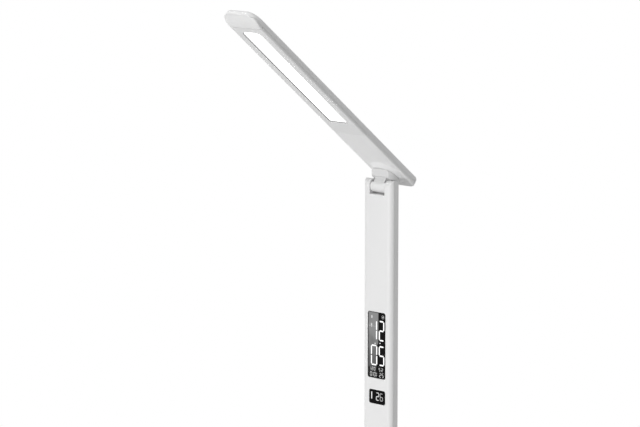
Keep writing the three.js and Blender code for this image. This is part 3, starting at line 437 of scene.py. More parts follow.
stand_for(soften(rear_cover, 0.1), "head_rear_cover", "head")

# %% [markdown]
# ## Head: diffuser
# A milky plate 1.2 mm behind the bezel's face spreads the light of the diodes. It is a slab with a
# fine lower edge, on a wider flange that the bezel holds.

# %% Diffuser
PAD_UNDER, FLANGE_UNDER, FLANGE_TOP, FLANGE_REACH = HEAD_UNDER + 1.2, 17.2, 18.2, 3
levels = [(-0.55, PAD_UNDER), (-0.4, PAD_UNDER), (-0.3, PAD_UNDER + 0.1), (-0.3, FLANGE_UNDER),
          (FLANGE_REACH, FLANGE_UNDER), (FLANGE_REACH, FLANGE_TOP)]
diffuser = body("milky_diffuser", [lift(light_outline(g), z) for g, z in levels], on_head)
stand_for(diffuser, "diffuser", "head")

# %% [markdown]
# Without a lip, the light inside would shine out through the parting line between roof and cover.
# The lip is a second hoop, which stands behind the line, a hair inside the wall. It stops where the
# nose is solid.

# %% Lip behind the parting line
levels = np.array(section_levels((WALL + 0.05, WALL + 0.7), (17.0, 20.0)))
rings = np.array([lift(head_outline(inset, HEAD_UNDER + NOSE_RISE), z) for inset, z in levels])
rings[..., 1] = np.maximum(rings[..., 1], levels[:, :1] - NOSE_START)
lip = hoop("parting_lip", rings)

# %% [markdown]
# ## Neck
# The neck carries the head: a barrel in the post's slot, and a turntable that flares up to the
# head's cone. The turntable is round, but its front and back are cut flat, so at each level its
# outline is a circle clipped by two lines. Radius and flat grow with height along a smooth curve.

# %% Turntable
NECK_UNDER, NECK_TOP = 6.2, 11.6
flare = np.polyfit([NECK_UNDER, 9.0, NECK_TOP], [12.9, 14.4, 15.2], 2)


def clipped_circle(radius, flat):
    """Two arcs of a circle, left and right, that end where sin(angle) is flat / radius."""
    end = np.arcsin(min(1, flat / radius))
    arc = np.linspace(-end, end, 22)
    return radius * on_circle(np.concatenate([arc, arc + np.pi]))


heights = np.linspace(NECK_UNDER, NECK_TOP, 8)
flats = np.interp(heights, [NECK_UNDER, NECK_TOP], [7, 12])
rings = [lift(clipped_circle(np.polyval(flare, z), flat), z) for z, flat in zip(heights, flats)]
turntable = soften(body("neck_turntable", rings, on_head), 0.45, 3, 30)
stand_for(turntable, "swivel_neck", "neck")

# %% [markdown]
# A barrel is a disc on the hinge pin, and a web joins it to its piece. Both are a profile in the
# side view, carried along the pin. The photograph shows two things at the neck: its web is narrower
# than the barrel, which leaves dark recesses beside it, and the barrel hangs a little under the
# pin, so that it nearly fills the slot. Beside the web the barrel is cut down to the pin, so the
# recess is deep and dark. The stand in the base has the same pair the other way up.

# %% Barrels and webs
BARREL_HALF, WEB_HALF, PIN_COVER = 9.45, 7.2, 0.6
CIRCLE = on_circle(np.linspace(0, 2 * np.pi, 48, endpoint=False))


def carried(name, profile, half, place, body_name, slot):
    """A closed profile (y, z), counterclockwise, swept from -half to half along X."""
    rings = [np.insert(profile, 0, x, axis=1) for x in (-half, 0, half)]
    return put_on(soften(body(name, rings, place), 0.35, 3, 35), body_name)


def hinge_part(name, centre, radius, depth, reach, *where):
    """A barrel cut flat on its web's side, and the web from the pin up, or down, by its reach."""
    ring = radius * CIRCLE + centre
    cut = np.sign(reach) * PIN_COVER
    ring[:, 1] = np.clip(ring[:, 1], *((-radius * 2, cut) if reach > 0 else (cut, radius * 2)))
    low, high = sorted((0, reach))
    web = np.array([[-depth, low], [depth, low], [depth, high], [-depth, high]])
    return (carried(f"{name}_barrel", ring, BARREL_HALF, *where),
            carried(f"{name}_web", web, WEB_HALF, *where))


NECK_HANG, STAND_GAP, OVERLAP = 1.35, 0.5, 0.6
POST_HALF, POST_DEPTH, POST_LENGTH = 19.0, 5.8, 285.0
STAND_TOP = -POST_DEPTH - STAND_GAP
hang = NECK_HANG * np.array([np.sin(tilt), -np.cos(tilt)])
neck_hinge = hinge_part("neck", hang, 5.6, 4.8, NECK_UNDER + OVERLAP, on_head, "neck", "neck")
stand_hinge = hinge_part("stand", (0, 0), 5.5, 5.0, STAND_TOP - OVERLAP, on_post, "base", "shell")
print("open edges:", [open_edges(piece) for piece in neck_hinge + stand_hinge])

# %% [markdown]
# ## Post
# The post is two mouldings, a rounded front and a flat back, which meet in a fine line at the
# sides. Both ends are half round and slotted for a barrel. One function draws each half: a section
# across the post, carried along it, whose depth is the smaller of the section's own depth and the
# depth of the round end. The faces in the slots, the windows and the holes are left out of the net,
# and the walls between the two skins close them. At the back a low ridge stays on each slot's
# floor, so the slot isn't seen through.

# %% Lines of the post's net
SLOT_HALF, SLOT_FLOOR, RIDGE_TOP, RIDGE_WIDTH = 9.9, 8.8, 6.2, 2.0
HOLLOW_HALF, SOLID_END, STEP, RIM_MARGIN = 15.5, 14.1, 0.05, 0.001
MAIN_WINDOW = (-11.9, 11.9, 90.8, 158.2)
SMALL_WINDOW = (-9.8, 11.9, 64.6, 79.0)
WINDOW_CORNER = 2.2


def spread(centre, radius):
    """Lines at the tangents of equal angles, for a square of cells that is drawn in to a circle."""
    return centre + radius * np.tan(np.radians(np.linspace(-45, 45, 7)))


def to_circle(points):
    """Draws each point in to the middle, from its square on to the circle of the same width."""
    length = np.maximum(np.linalg.norm(points, axis=-1), 1e-9)
    return points * (np.abs(points).max(-1) / length)[..., None]


def drawn_in(points, centre, radius, signs=(0, 0)):
    """Does so with the points of a square round a centre, or with those of a corner of it."""
    offset = (points - centre) / radius
    chosen = (np.abs(offset).max(-1) < 1.001) & (offset * signs >= -1e-6).all(-1)
    return np.where(chosen[..., None], centre + radius * to_circle(offset), points)


def inside(values, limits):
    """Which values lie between two limits."""
    return (values > limits[0]) & (values < limits[1])


def lines_at(places, circles):
    """The lines of a net: single places, and those that each circle (centre, radius) needs."""
    groups = [places] + [spread(centre, radius) for centre, radius in circles]
    return np.unique(np.round(np.concatenate(groups), 3))


def cell_middles(values):
    """The middle of each cell of a net, by two of its opposite corners."""
    return (values[:-1, :-1] + values[1:, 1:]).reshape(-1) / 2


# %% [markdown]
# The rim of a half is the line where it meets the other one. There the outer skin ends no further
# out than the inner skin does, so the round end keeps a clean corner.

# %% One half of the post
def post_half(name, section, rim, side, holes=(), corners=()):
    """Depth is min(section, round end). Holes are (x, z, radius); corners add their signs."""
    rim_angle = np.arcsin(rim / POST_DEPTH)
    angle = np.linspace(rim_angle, np.pi / 2, 12)
    end, end_depth = POST_DEPTH * np.cos(angle), POST_DEPTH * np.sin(angle)
    ends = np.array([LEAD, RIDGE_TOP, SLOT_FLOOR - STEP, SLOT_FLOOR, SOLID_END - 2 * STEP,
                     SOLID_END + 2 * STEP])
    lines = lines_at([*ends, *(POST_LENGTH - ends), POST_LENGTH / 2],
                     [(z, radius) for _, z, radius, *_ in (*holes, *corners)])
    z = np.concatenate([-end, lines, POST_LENGTH + end[::-1]])
    depth = np.concatenate([end_depth, np.full(len(lines), np.inf), end_depth[::-1]])
    limit = POST_DEPTH * np.cos(rim_angle)
    x = np.broadcast_to(section[:, 0], (len(z), len(section)))
    z_grid = np.broadcast_to(z[:, None], x.shape)
    flat = np.stack([x, z_grid], -1)
    for circle_x, circle_z, radius, *signs in (*holes, *corners):
        flat = drawn_in(flat, np.array([circle_x, circle_z]), radius, *signs)
    seen = np.minimum(section[:, 1], depth[:, None])
    hollow = (np.abs(x) < HOLLOW_HALF) & inside(z_grid, (SOLID_END, POST_LENGTH - SOLID_END))
    behind = np.where(hollow, POST_DEPTH - WALL, rim)
    low = np.minimum(z_grid, POST_LENGTH - z_grid)
    ridge = inside(low, (RIDGE_TOP - STEP / 2, SLOT_FLOOR - STEP / 2)) & (side > 0)
    ridge = ridge & (np.abs(x) < SLOT_HALF - STEP / 2)
    behind = np.where(ridge, POST_DEPTH - RIDGE_WIDTH, behind)
    behind = np.minimum(behind, np.maximum(seen, rim))
    z_inner = np.clip(flat[..., 1], -limit, POST_LENGTH + limit)
    z_outer = np.where(section[:, 1] > rim + RIM_MARGIN, flat[..., 1], z_inner)
    outer = np.stack([flat[..., 0], side * seen, z_outer], -1)
    inner = np.stack([flat[..., 0], side * behind, z_inner], -1)
    quads = net(len(z), len(section), closed=False)
    middle_x, middle_z = cell_middles(x), cell_middles(z_grid)
    from_end = np.minimum(middle_z, POST_LENGTH - middle_z)
    cut = (np.abs(middle_x) < SLOT_HALF) & (from_end < (SLOT_FLOOR if side < 0 else RIDGE_TOP))
    if side < 0:
        for x0, x1, z0, z1 in (MAIN_WINDOW, SMALL_WINDOW):
            cut |= inside(middle_x, (x0, x1)) & inside(middle_z, (z0, z1))
    for hole_x, hole_z, radius in holes:
        cut |= (np.abs(middle_x - hole_x) < radius) & (np.abs(middle_z - hole_z) < radius)
    return moulding(name, outer, inner, quads[~cut], on_post)


# %% [markdown]
# The front's section is flat in the middle and rounds off by 4 mm over the last 5.5 mm of each
# side, as one arc. It meets the flat side at a crease, where the two halves part.

# %% Front half
FRONT_REACH, FRONT_ROUND = 5.5, 4.0
arc_radius = (FRONT_REACH**2 + FRONT_ROUND**2) / (2 * FRONT_ROUND)
front_rim = POST_DEPTH - FRONT_ROUND + PARTING / 2
opening = np.arccos((arc_radius - (POST_DEPTH - front_rim)) / arc_radius)
angle = np.linspace(0, opening, 12)
arc = np.stack([POST_HALF - FRONT_REACH + arc_radius * np.sin(angle),
                POST_DEPTH - arc_radius * (1 - np.cos(angle))], -1)
window_corners = [(x - sx * WINDOW_CORNER, z - sz * WINDOW_CORNER, WINDOW_CORNER, (sx, sz))
                  for x0, x1, z0, z1 in (MAIN_WINDOW, SMALL_WINDOW)
                  for x, sx in ((x0, -1), (x1, 1)) for z, sz in ((z0, -1), (z1, 1))]
middle = lines_at([-13.2, -SLOT_HALF, SMALL_WINDOW[0], 0, SLOT_HALF, 13.2],
                  [(x, radius) for x, _, radius, _ in window_corners])
section = np.vstack([mirrored(arc), lift(middle, POST_DEPTH), arc])
front_half = post_half("post_front", section, front_rim, -1, corners=window_corners)
stand_for(soften(front_half, 0.15), "post_front_shell", "post")

# %% [markdown]
# The rear half has flat sides, small round corners and a flat back with three button holes and four
# sunk screws. A square block of cells is left out for each hole and the points on its edge are
# drawn in to a circle.

# %% Rear half
BUTTONS = dict(set_button=151.2, up_button=137.2, down_button=123.2)
BUTTON_HOLE, SCREW_HOLE, SCREW_X, SCREW_END, REAR_ROUND = 3.3, 2.6, 10.5, 22.0, 1.5
SCREWS = [(x, z) for z in (SCREW_END, POST_LENGTH - SCREW_END) for x in (-SCREW_X, SCREW_X)]
holes = [(0.0, z, BUTTON_HOLE) for z in BUTTONS.values()] + [(*at, SCREW_HOLE) for at in SCREWS]
rear_rim = PARTING - front_rim
angle = np.radians(np.linspace(0, 90, 7))
corner = np.stack([POST_HALF - REAR_ROUND * (1 - np.cos(angle)),
                   POST_DEPTH - REAR_ROUND * (1 - np.sin(angle))], -1)
half = np.vstack([[POST_HALF, rear_rim], [POST_HALF, POST_DEPTH - REAR_ROUND - LEAD], corner,
                  [POST_HALF - REAR_ROUND - LEAD, POST_DEPTH]])
breaks = np.array([SLOT_HALF - STEP, SLOT_HALF, HOLLOW_HALF - 2 * STEP, HOLLOW_HALF + 2 * STEP])
lines_x = lines_at([*breaks, *-breaks], [(x, radius) for x, _, radius in holes])[::-1]
section = np.vstack([half, lift(lines_x, POST_DEPTH), mirrored(half)])
rear_half = soften(post_half("post_back", section, rear_rim, 1, holes), 0.15)
stand_for(rear_half, "post_rear_shell", "post")

# %% [markdown]
# ## Displays
# Each display is a dark pane, let into the front by 0.2 mm. The panes keep their CAD meshes. What
# glows on them is new: seven-segment numbers and small marks, as thin plates on the pane. A number
# is a set of strokes, so one table of strokes in a unit cell draws them all. The drawings are flat,
# with the depth as a third number, and a placing function stands them on their surface.

# %% Strokes of a seven-segment number
STROKES = np.array([[[0, 2], [1, 2]], [[1, 2], [1, 1]], [[1, 1], [1, 0]], [[0, 0], [1, 0]],
                    [[0, 1], [0, 0]], [[0, 2], [0, 1]], [[0, 1], [1, 1]]], float)
LIT = {0: "abcdef", 1: "bc", 2: "abged", 5: "afgcd", 6: "afgedc"}
MARK_DEPTH, PANE_DEPTH = 0.08, POST_DEPTH - 0.15


def number(digit, x, z, width, height):
    """The lit strokes of a digit whose lower left corner is at (x, z), as pairs of ends."""
    chosen = ["abcdefg".index(letter) for letter in LIT[digit]]
    return STROKES[chosen] * [width, height / 2] + [x, z]


def straight(*ends):
    """Single strokes, each from (x, z) to (x, z), as four numbers."""
    return np.reshape(ends, (-1, 2, 2)).astype(float)


def plates(name, strokes, thickness, gap, place):
    """One pointed plate for each stroke: six corners round its middle line, shortened by a gap."""
    strokes = np.concatenate(strokes)
    start, end = strokes[:, 0], strokes[:, 1]
    length = np.linalg.norm(end - start, axis=1, keepdims=True)
    along = (end - start) / length
    across = np.stack([-along[:, 1], along[:, 0]], -1)
    half = thickness / 2
    ends, sides = np.array([-1, -1, 1, 1, 1, -1]), np.array([0, 1, 1, 0, -1, -1])
    u = ends * np.maximum(length / 2 - gap - half * np.abs(sides), half / 4)
    v = sides * half
    middles = ((start + end) / 2)[:, None]
    flat = middles + u[..., None] * along[:, None] + v[:, None] * across[:, None]
    points = np.concatenate([np.insert(flat, 2, depth, axis=2) for depth in (0.0, MARK_DEPTH)], 1)
    first = 12 * np.arange(len(strokes))[:, None]
    ring = np.arange(6)
    walls = np.stack([ring, ring + 6, (ring + 1) % 6 + 6, (ring + 1) % 6], -1)
    quads = (first[..., None] + walls).reshape(-1, 4)
    return make(name, place(points), quads, [*(first + ring[::-1]), *(first + ring + 6)])


def on_pane(points):
    """Stands a flat drawing (x, z, depth) on the display pane."""
    x, z, depth = np.moveaxis(points, -1, 0)
    return on_post(np.stack([x, depth - PANE_DEPTH, z], -1))


# %% Numbers and marks on both displays
def glyphs(name, strokes, thickness, gap=0.0):
    """Glowing strokes on a display pane."""
    return put_on(plates(name, strokes, thickness, gap, on_pane), "post")


big = [number(1, -6.9, 130.0, 6.7, 19.2), number(2, 3.6, 130.0, 5.9, 19.2),
       number(0, -6.9, 104.4, 7.1, 19.5), number(5, 3.6, 104.8, 6.1, 18.8)]
colon = straight((-2.6, 126.1, -1.5, 126.1), (4.0, 127.0, 5.1, 127.0))
clock_numbers = glyphs("clock_numbers", big, 1.3, 0.3)
degree_tens = glyphs("degree_tens", [number(2, -0.2, 68.6, 3.4, 7.4)], 0.7, 0.1)
degree_ones = glyphs("degree_ones", [number(6, 5.0, 68.6, 3.2, 7.2)], 0.5, 0.1)
colon_marks = glyphs("colon_marks", [colon], 1.2)
print("lit strokes:", sum(map(len, big)))

# %% Fainter marks: a sun, the date's rows, a bar and two segments that are off
way = on_circle(np.radians(np.arange(0, 360, 45)))
sun = [np.stack([1.35 * way, 2.0 * way], 1), straight((-0.8, 0, 0.8, 0), (0, -0.8, 0, 0.8))]
sun = [strokes + [8.4, 153.9] for strokes in sun]
upper_row = [(1, -9.2), (2, -6.4), (0, -3.6), (5, 3.2), (2, 6.6)]
lower_row = [(0, -8.4), (1, -6.6), (0, -3.4), (1, -1.8), (2, 4.0), (5, 7.4)]
date = [number(digit, x, 98.6, 1.7, 3.0) for digit, x in upper_row]
date += [number(digit, x, 92.6, 1.9, 4.0) for digit, x in lower_row]
ghosts = straight((-6.5, 151.0, -6.5, 154.6), (-6.9, 142.0, -6.9, 146.4))
sun_marks = glyphs("sun_marks", sun, 0.55)
date_numbers = glyphs("date_numbers", date, 0.5, 0.05)
level_bar = glyphs("level_bar", [straight((-6.4, 68.8, -6.4, 76.6))], 1.1)
ghost_marks = glyphs("ghost_marks", [ghosts], 1.7)
ghost_line = glyphs("ghost_line", [straight((-11.2, 143.4, -1.4, 143.4))], 0.45)
print("faint strokes:", sum(map(len, sun + date)))

# %% [markdown]
# ## Buttons and screws in the back
# A push button is a turned form with a dished face. A screw head is a disc with a cross-shaped
# recess: a square net of cells whose outer rows are drawn in to a circle while its middle stays
# square, with the cells of the cross sunk.

# %% Buttons
def turned(name, profile, place):
    """A profile of (radius, height) points, from the axis to the axis, carried round the Z axis."""
    rings = np.array([lift(CIRCLE * radius, height) for radius, height in profile])
    return make(name, place(rings), net(len(profile), len(CIRCLE)))


def facing_back(x, z):
    """Turns points drawn round Z so that they face +Y, at a place in the post's back."""
    def place(points):
        return on_post(np.stack([points[..., 0] + x, points[..., 2], z - points[..., 1]], -1))
    return place


DISH, DISH_FLOOR, DISH_DEPTH = 2.3, 6.1, 0.45
BUTTON_PROFILE = [[0, 3.1], [3.8, 3.1], [3.8, 3.9], [3.0, 3.9], [3.0, 6.2], [2.97, 6.4],
                  [2.85, 6.54], [2.68, 6.6], [2.5, 6.58]]
BUTTON_PROFILE += [[r, DISH_FLOOR + DISH_DEPTH * (r / DISH) ** 2] for r in np.linspace(DISH, 0, 7)]
buttons = []
for node, height in BUTTONS.items():
    buttons.append(turned(f"{node}_cap", BUTTON_PROFILE, facing_back(0, height)))
    stand_for(buttons[-1], node, node)

# %% Screw heads with a cross recess
HEAD_RADIUS, HEAD_FACE, HEAD_THICK, CROSS_DEPTH, HEAD_CHAMFER = 2.3, 5.65, 0.7, 0.55, 0.12


def screw_head(name, place):
    """Two skins on a square net, drawn in to a circle; the upper one is sunk in the cross."""
    angle = np.radians([6, 9, 18, 26, 30, 37.5, 45])
    lines = HEAD_RADIUS * np.tan(np.concatenate([-angle[::-1], angle]))
    x, y = np.meshgrid(lines, lines)
    flat = np.stack([x, y], -1)
    far = np.abs(flat).max(-1)
    blend = np.clip((far / HEAD_RADIUS - 0.6) / 0.4, 0, 1)
    blend = (blend * blend * (3 - 2 * blend))[..., None]
    flat = flat * (1 - blend) + to_circle(flat) * blend
    narrow, long = HEAD_RADIUS * np.tan(np.radians([7.5, 28]))
    ax, ay = np.abs(x), np.abs(y)
    sunk = ((ax < narrow) & (ay < long)) | ((ay < narrow) & (ax < long))
    height = HEAD_FACE - CROSS_DEPTH * sunk - HEAD_CHAMFER * (far > 0.99 * HEAD_RADIUS)
    flat = flat.reshape(-1, 2)
    outer, inner = lift(flat, height.reshape(-1)), lift(flat, HEAD_FACE - HEAD_THICK)
    return moulding(name, outer, inner, net(*x.shape, closed=False), place)


screw_heads = []
for index, (x, z) in enumerate(SCREWS, 1):
    screw_heads.append(screw_head(f"post_screw_head_{index}", facing_back(x, z)))
    stand_for(screw_heads[-1], f"post_screw_{index}", "post")

# %% [markdown]
# ## Stand
# A short column of the post's own section rises from the base and carries the lower barrel.

# %% Stand column
STAND_FOOT = 9.2 - lower_hinge[2]
front = arc * [1, -1]
outline = np.vstack([mirrored(front), front, corner, mirrored(corner)])
rings = [lift(outline, z) for z in (STAND_FOOT, -20, STAND_TOP)]
column = soften(body("stand_column", rings, on_post), 0.3, 3, 35)
stand_for(column, "hinge_stand", "base")

# %% [markdown]
# ## Base: top shell
# The base is a weighted plate with a rounded top edge. Its top has a slot for the stand and a
# shallow bed for the touch panel, and its rear wall a hole for the power inlet. The net has three
# zones: a square grid on the flat top, from which the openings are left out; a fan at each corner,
# made by letting a sharp rectangle grow into one with round corners; and rings down the sides.

# %% Net of the base's top
BASE_HALF, BASE_LENGTH, BASE_TOP, BASE_WALL, BASE_RIM = 50.0, 80.0, 17.0, 2.2, 0.8
BASE_CORNER, FLAT_HALF, FLAT_LENGTH = 14, 36, 72
PANEL_HALF, PANEL_Y, INLET_Z, INLET_HOLE = 32.3, (-70.3, -53.7), 6.9, 3.2
WALL_ZONE, PULL_REACH, EDGE_ROUND, EDGE_INSIDE = 6, 4, 3, 0.8
slot_x, slot_y = 19.3, (lower_hinge[1] - 6.1, lower_hinge[1] + 6.1)
openings = [(PANEL_HALF, PANEL_Y, (4.3, 4.3)), (slot_x, slot_y, (4.6, 1.8))]
rounded_corners = [(sx * (half - r), y - sy * r, r, (sx, sy)) for half, ends, radii in openings
                   for sx in (-1, 1) for y, r, sy in zip(ends, radii, (-1, 1))]
grid_x = lines_at([-FLAT_HALF, FLAT_HALF, -BASE_HALF / 3, 0],
                  [(0, INLET_HOLE)] + [(x, r) for x, _, r, _ in rounded_corners])
grid_x = grid_x[np.abs(grid_x) <= FLAT_HALF]
grid_y = lines_at([-FLAT_LENGTH, FLAT_LENGTH, 0, -30, 30],
                  [(y, r) for _, y, r, _ in rounded_corners])
gx, gy = np.meshgrid(grid_x, grid_y)
top = np.stack([gx, gy], -1)
for x, y, radius, signs in rounded_corners:
    top = drawn_in(top, np.array([x, y]), radius, signs)
top_quads = net(*gx.shape, closed=False)
cut = np.zeros(len(top_quads), bool)
for half, ends, _ in openings:
    cut |= inside(cell_middles(gx), (-half, half)) & inside(cell_middles(gy), ends)
top_quads = top_quads[~cut]
print("cells in the top:", len(top_quads))


# %% Base shell
def on_desk(points):
    """The pieces of the base are drawn where they stand."""
    return points


def base_outline(inset):
    """The base's outline with a point at every line of the grid, so that rings and grid join."""
    x, y = np.array([-BASE_HALF, BASE_HALF]), np.array([-BASE_LENGTH, BASE_LENGTH])
    drawn = np.array([inset, -inset])
    return rounded(x + drawn, y + drawn, BASE_CORNER - inset, grid_x, grid_y)


def at_inlet(points, reach):
    """Which points lie in the rear wall, no further than reach from the middle."""
    return (points[..., 1] > BASE_LENGTH - WALL_ZONE) & (np.abs(points[..., 0]) < reach)


def base_skin(inset, top_z, edge_radius):
    """Grid, fan and rings of one skin, from the flat top down to the rim."""
    sharp = rounded((-FLAT_HALF, FLAT_HALF), (-FLAT_LENGTH, FLAT_LENGTH), 0, grid_x, grid_y)
    heights = [*spread(INLET_Z, INLET_HOLE)[::-1], BASE_RIM + 0.15, BASE_RIM]
    rings = [lift(sharp, top_z)]
    rings += [lift(base_outline(inset + i), z) for i, z in upper_edge(edge_radius, top_z)[::-1]]
    rings = np.array(rings + [lift(base_outline(inset), z) for z in heights])
    wall = at_inlet(rings, PULL_REACH) & (rings[..., 2] < top_z - PULL_REACH)
    pulled = drawn_in(rings[..., [0, 2]], np.array([0, INLET_Z]), INLET_HOLE)
    rings[..., [0, 2]] = np.where(wall[..., None], pulled, rings[..., [0, 2]])
    return lift(top.reshape(-1, 2), top_z), rings


flat, rings = base_skin(0, BASE_TOP, EDGE_ROUND)
flat_in, rings_in = base_skin(BASE_WALL, BASE_TOP - BASE_WALL, EDGE_INSIDE)
ring_quads = net(*rings.shape[:2])[:, ::-1]
centre = rings.reshape(-1, 3)[ring_quads[:, [0, 2]]].mean(1)
in_hole = at_inlet(centre, INLET_HOLE) & (np.abs(centre[:, 2] - INLET_Z) < INLET_HOLE)
quads = np.vstack([top_quads, ring_quads[~in_hole] + len(flat)])
base_shell = moulding("base_shell", np.vstack([flat, *rings]), np.vstack([flat_in, *rings_in]),
                      quads, on_desk)
stand_for(soften(base_shell, 0.25), "base_top_shell", "base")

# %% [markdown]
# ## Base: touch panel
# A gloss strip lies in the bed, a hair under the top. Its marks are plain shapes: a ring with a
# stroke, a minus and a plus.

# %% Bed and touch panel
BED_HEIGHTS, STRIP_FACE, PRINT_FACE = (15.2, 16.15), 16.9, 16.93
outline = rounded((-33, 33), (-71, -53), 4.6)
bed = put_on(body("touch_bed", [lift(outline, z) for z in BED_HEIGHTS], on_desk), "base")
levels = [(0, 16.2), (0, 16.7), (0.06, 16.84), (0.2, STRIP_FACE), (0.45, STRIP_FACE)]
rings = [lift(rounded((i - 32, 32 - i), (i - 70, -54 - i), 4 - i), z) for i, z in levels]
panel = body("touch_strip", rings, on_desk)
stand_for(panel, "touch_panel", "base")
ring = 2.6 * on_circle(np.radians(np.linspace(125, 415, 19))) + [0, -62.2]
strokes = [np.stack([ring[:-1], ring[1:]], 1), straight(
    (0, -61.6, 0, -58.6), (-20, -62, -15, -62), (15, -62, 20, -62), (17.5, -64.5, 17.5, -59.5))]


def on_panel(points):
    """Lays a flat drawing (x, y, depth) on the touch panel, a hair over its face."""
    x, y, depth = np.moveaxis(points, -1, 0)
    return np.stack([x, y, PRINT_FACE - depth], -1)


signs = put_on(plates("touch_signs", strokes, 0.55, -0.05, on_panel), "base")

# %% [markdown]
# ## Shader maths as plain expressions
# A wire stands for one socket. Sums, differences and products of wires add Math nodes, so a mask
# can be written as it would be on paper. Every other node comes from one method, which takes its
# kind, its settings and what goes into its sockets. The world uses the same nodes as a material.

# %% Wires
def grey(value):
    """A number as a grey colour; a colour stays as it is."""
    return value if np.ndim(value) else (value, value, value, 1.0)


class Wire:
    """One output of a node; arithmetic on wires adds Math nodes to the same tree."""

    def __init__(self, nodes, socket):
        self.nodes, self.socket = nodes, socket

    def math(self, operation, *others):
        sockets = dict(enumerate((self, *others)))
        return self.nodes.node("Math", {"operation": operation}, sockets)

    def __add__(self, other):
        return self.math("ADD", other)

    def __mul__(self, other):
        return self.math("MULTIPLY", other)

    def __sub__(self, other):
        return self.math("SUBTRACT", other)

    def __rsub__(self, other):
        return self * -1.0 + other

    __radd__, __rmul__ = __add__, __mul__


# %% Nodes
class Nodes:
    """A node tree that is built node by node."""

    def __init__(self, tree):
        self.tree = tree

    def node(self, kind, settings=None, sockets=None, output=0):
        """Adds a node: its settings, then a value or a wire for each socket, by name or number."""
        node = self.tree.nodes.new(f"ShaderNode{kind}")
        for name, value in (settings or {}).items():
            setattr(node, name, value)
        for socket, value in (sockets or {}).items():
            if isinstance(value, Wire):
                self.tree.links.new(value.socket, node.inputs[socket])
            else:
                node.inputs[socket].default_value = value
        return Wire(self, node.outputs[output])

    def place(self):
        return self.node("TexCoord", output="Object")

    def axes(self):
        """The three coordinates of the place, in metres, as three wires."""
        first = self.node("SeparateXYZ", None, {0: self.place()})
        return [Wire(self, socket) for socket in first.socket.node.outputs]

    def noise(self, scale, detail, stretch=(1, 1, 1)):
        at = self.node("Mapping", None, {"Vector": self.place(), "Scale": stretch})
        sockets = {"Vector": at, "Scale": scale, "Detail": detail}
        return self.node("TexNoise", None, sockets, "Fac")

    def cells(self, scale, randomness, **settings):
        """Distance to the next point of a field of points."""
        sockets = {"Vector": self.place(), "Scale": scale, "Randomness": randomness}
        return self.node("TexVoronoi", settings, sockets, "Distance")

    def ramp(self, value, start, end, low=0.0, high=1.0):
        """A smooth change from low to high while the value goes from start to end."""
        sockets = dict(enumerate((value, start, end, low, high)))
        return self.node("MapRange", {"interpolation_type": "SMOOTHSTEP"}, sockets)

    def blend(self, factor, low, high):
        """A colour between two colours or greys."""
        sockets = {0: factor, 6: grey(low), 7: grey(high)}
        return self.node("Mix", {"data_type": "RGBA"}, sockets, 2)

    def plain_rays(self):
        """One for the rays that should see the white ground: camera, reflected and refracted."""
        seen = [self.node("LightPath", output=f"Is {ray} Ray")
                for ray in ("Camera", "Glossy", "Transmission")]
        return seen[0].math("MAXIMUM", seen[1]).math("MAXIMUM", seen[2])

    def white(self, kind, strength):
        """White light from a shader of its own."""
        return self.node(kind, None, {"Color": grey(1.0), "Strength": strength})

    def show(self, kind, share, first, second):
        """Puts the first shader in the output, with a share of the second."""
        mix = self.node("MixShader", None, {0: share, 1: first, 2: second})
        self.tree.links.new(mix.socket, self.tree.nodes[f"{kind} Output"].inputs["Surface"])


# %% Paints
class Paint(Nodes):
    """A material with a Principled shader; constants go straight to the shader's sockets."""

    def __init__(self, name, **constants):
        self.material = bpy.data.materials.new(name)
        self.material.use_nodes = True
        super().__init__(self.material.node_tree)
        self.shader = self.tree.nodes["Principled BSDF"]
        for socket, value in constants.items():
            self.shader.inputs[socket.replace("_", " ")].default_value = value

    def feed(self, socket, value):
        self.tree.links.new(value.socket, self.shader.inputs[socket])

    def colour(self, factor, low, high, socket="Base Color"):
        self.feed(socket, self.blend(factor, low, high))

    def rough(self, value, low, high, start=0.3, end=0.7):
        self.feed("Roughness", self.ramp(value, start, end, low, high))

    def bump(self, height, strength, distance):
        sockets = {"Height": height, "Strength": strength, "Distance": distance}
        self.feed("Normal", self.node("Bump", None, sockets))


# %% [markdown]
# ## Finishes
# The shells are white ABS from a spark-eroded mould: nearly neutral, half matt, with a grain of a
# few tenths of a millimetre that only close views show. A bump node on fine noise gives the grain,
# a coarse noise shifts the tone by a percent, and a middle one the roughness, as on any moulding.

# %% Moulded plastics
def speckled(name, colour, rough, **constants):
    """Colour and roughness change by noise; each is given as (scale, detail, low, high)."""
    paint = Paint(name, **constants)
    paint.colour(paint.noise(*colour[:2]), *colour[2:])
    paint.rough(paint.noise(*rough[:2]), *rough[2:])
    return paint


def moulded(name, tone, rough, grain=1.0):
    colour, rough = (14, 3, tone * 0.985, tone * 1.01), (90, 3, rough - 0.04, rough + 0.05)
    paint = speckled(name, colour, rough, IOR=1.46)
    paint.bump(paint.noise(2300, 3), 0.18 * grain, 0.00006)
    return paint


shell_white = moulded("shell_white", 0.80, 0.46)
# Painted shade: a darker copy of the shells' white for the bezel, for the dimmer light on the
# underside beside the light.
bezel_white = moulded("bezel_white", 0.755, 0.46)
# Painted shade: a darker copy of the shells' white for the turntable and web, which lie in shade
# under the head.
neck_white = moulded("neck_white", 0.69, 0.40, 0.6)
button_white = moulded("button_white", 0.72, 0.34, 0.4)

# %% [markdown]
# The diffuser is milky acrylic and lit: its own light is white, a little brighter over the two rows
# of diodes. The rows run along the head, so the pattern uses the distance from the head's middle
# and the length along it.

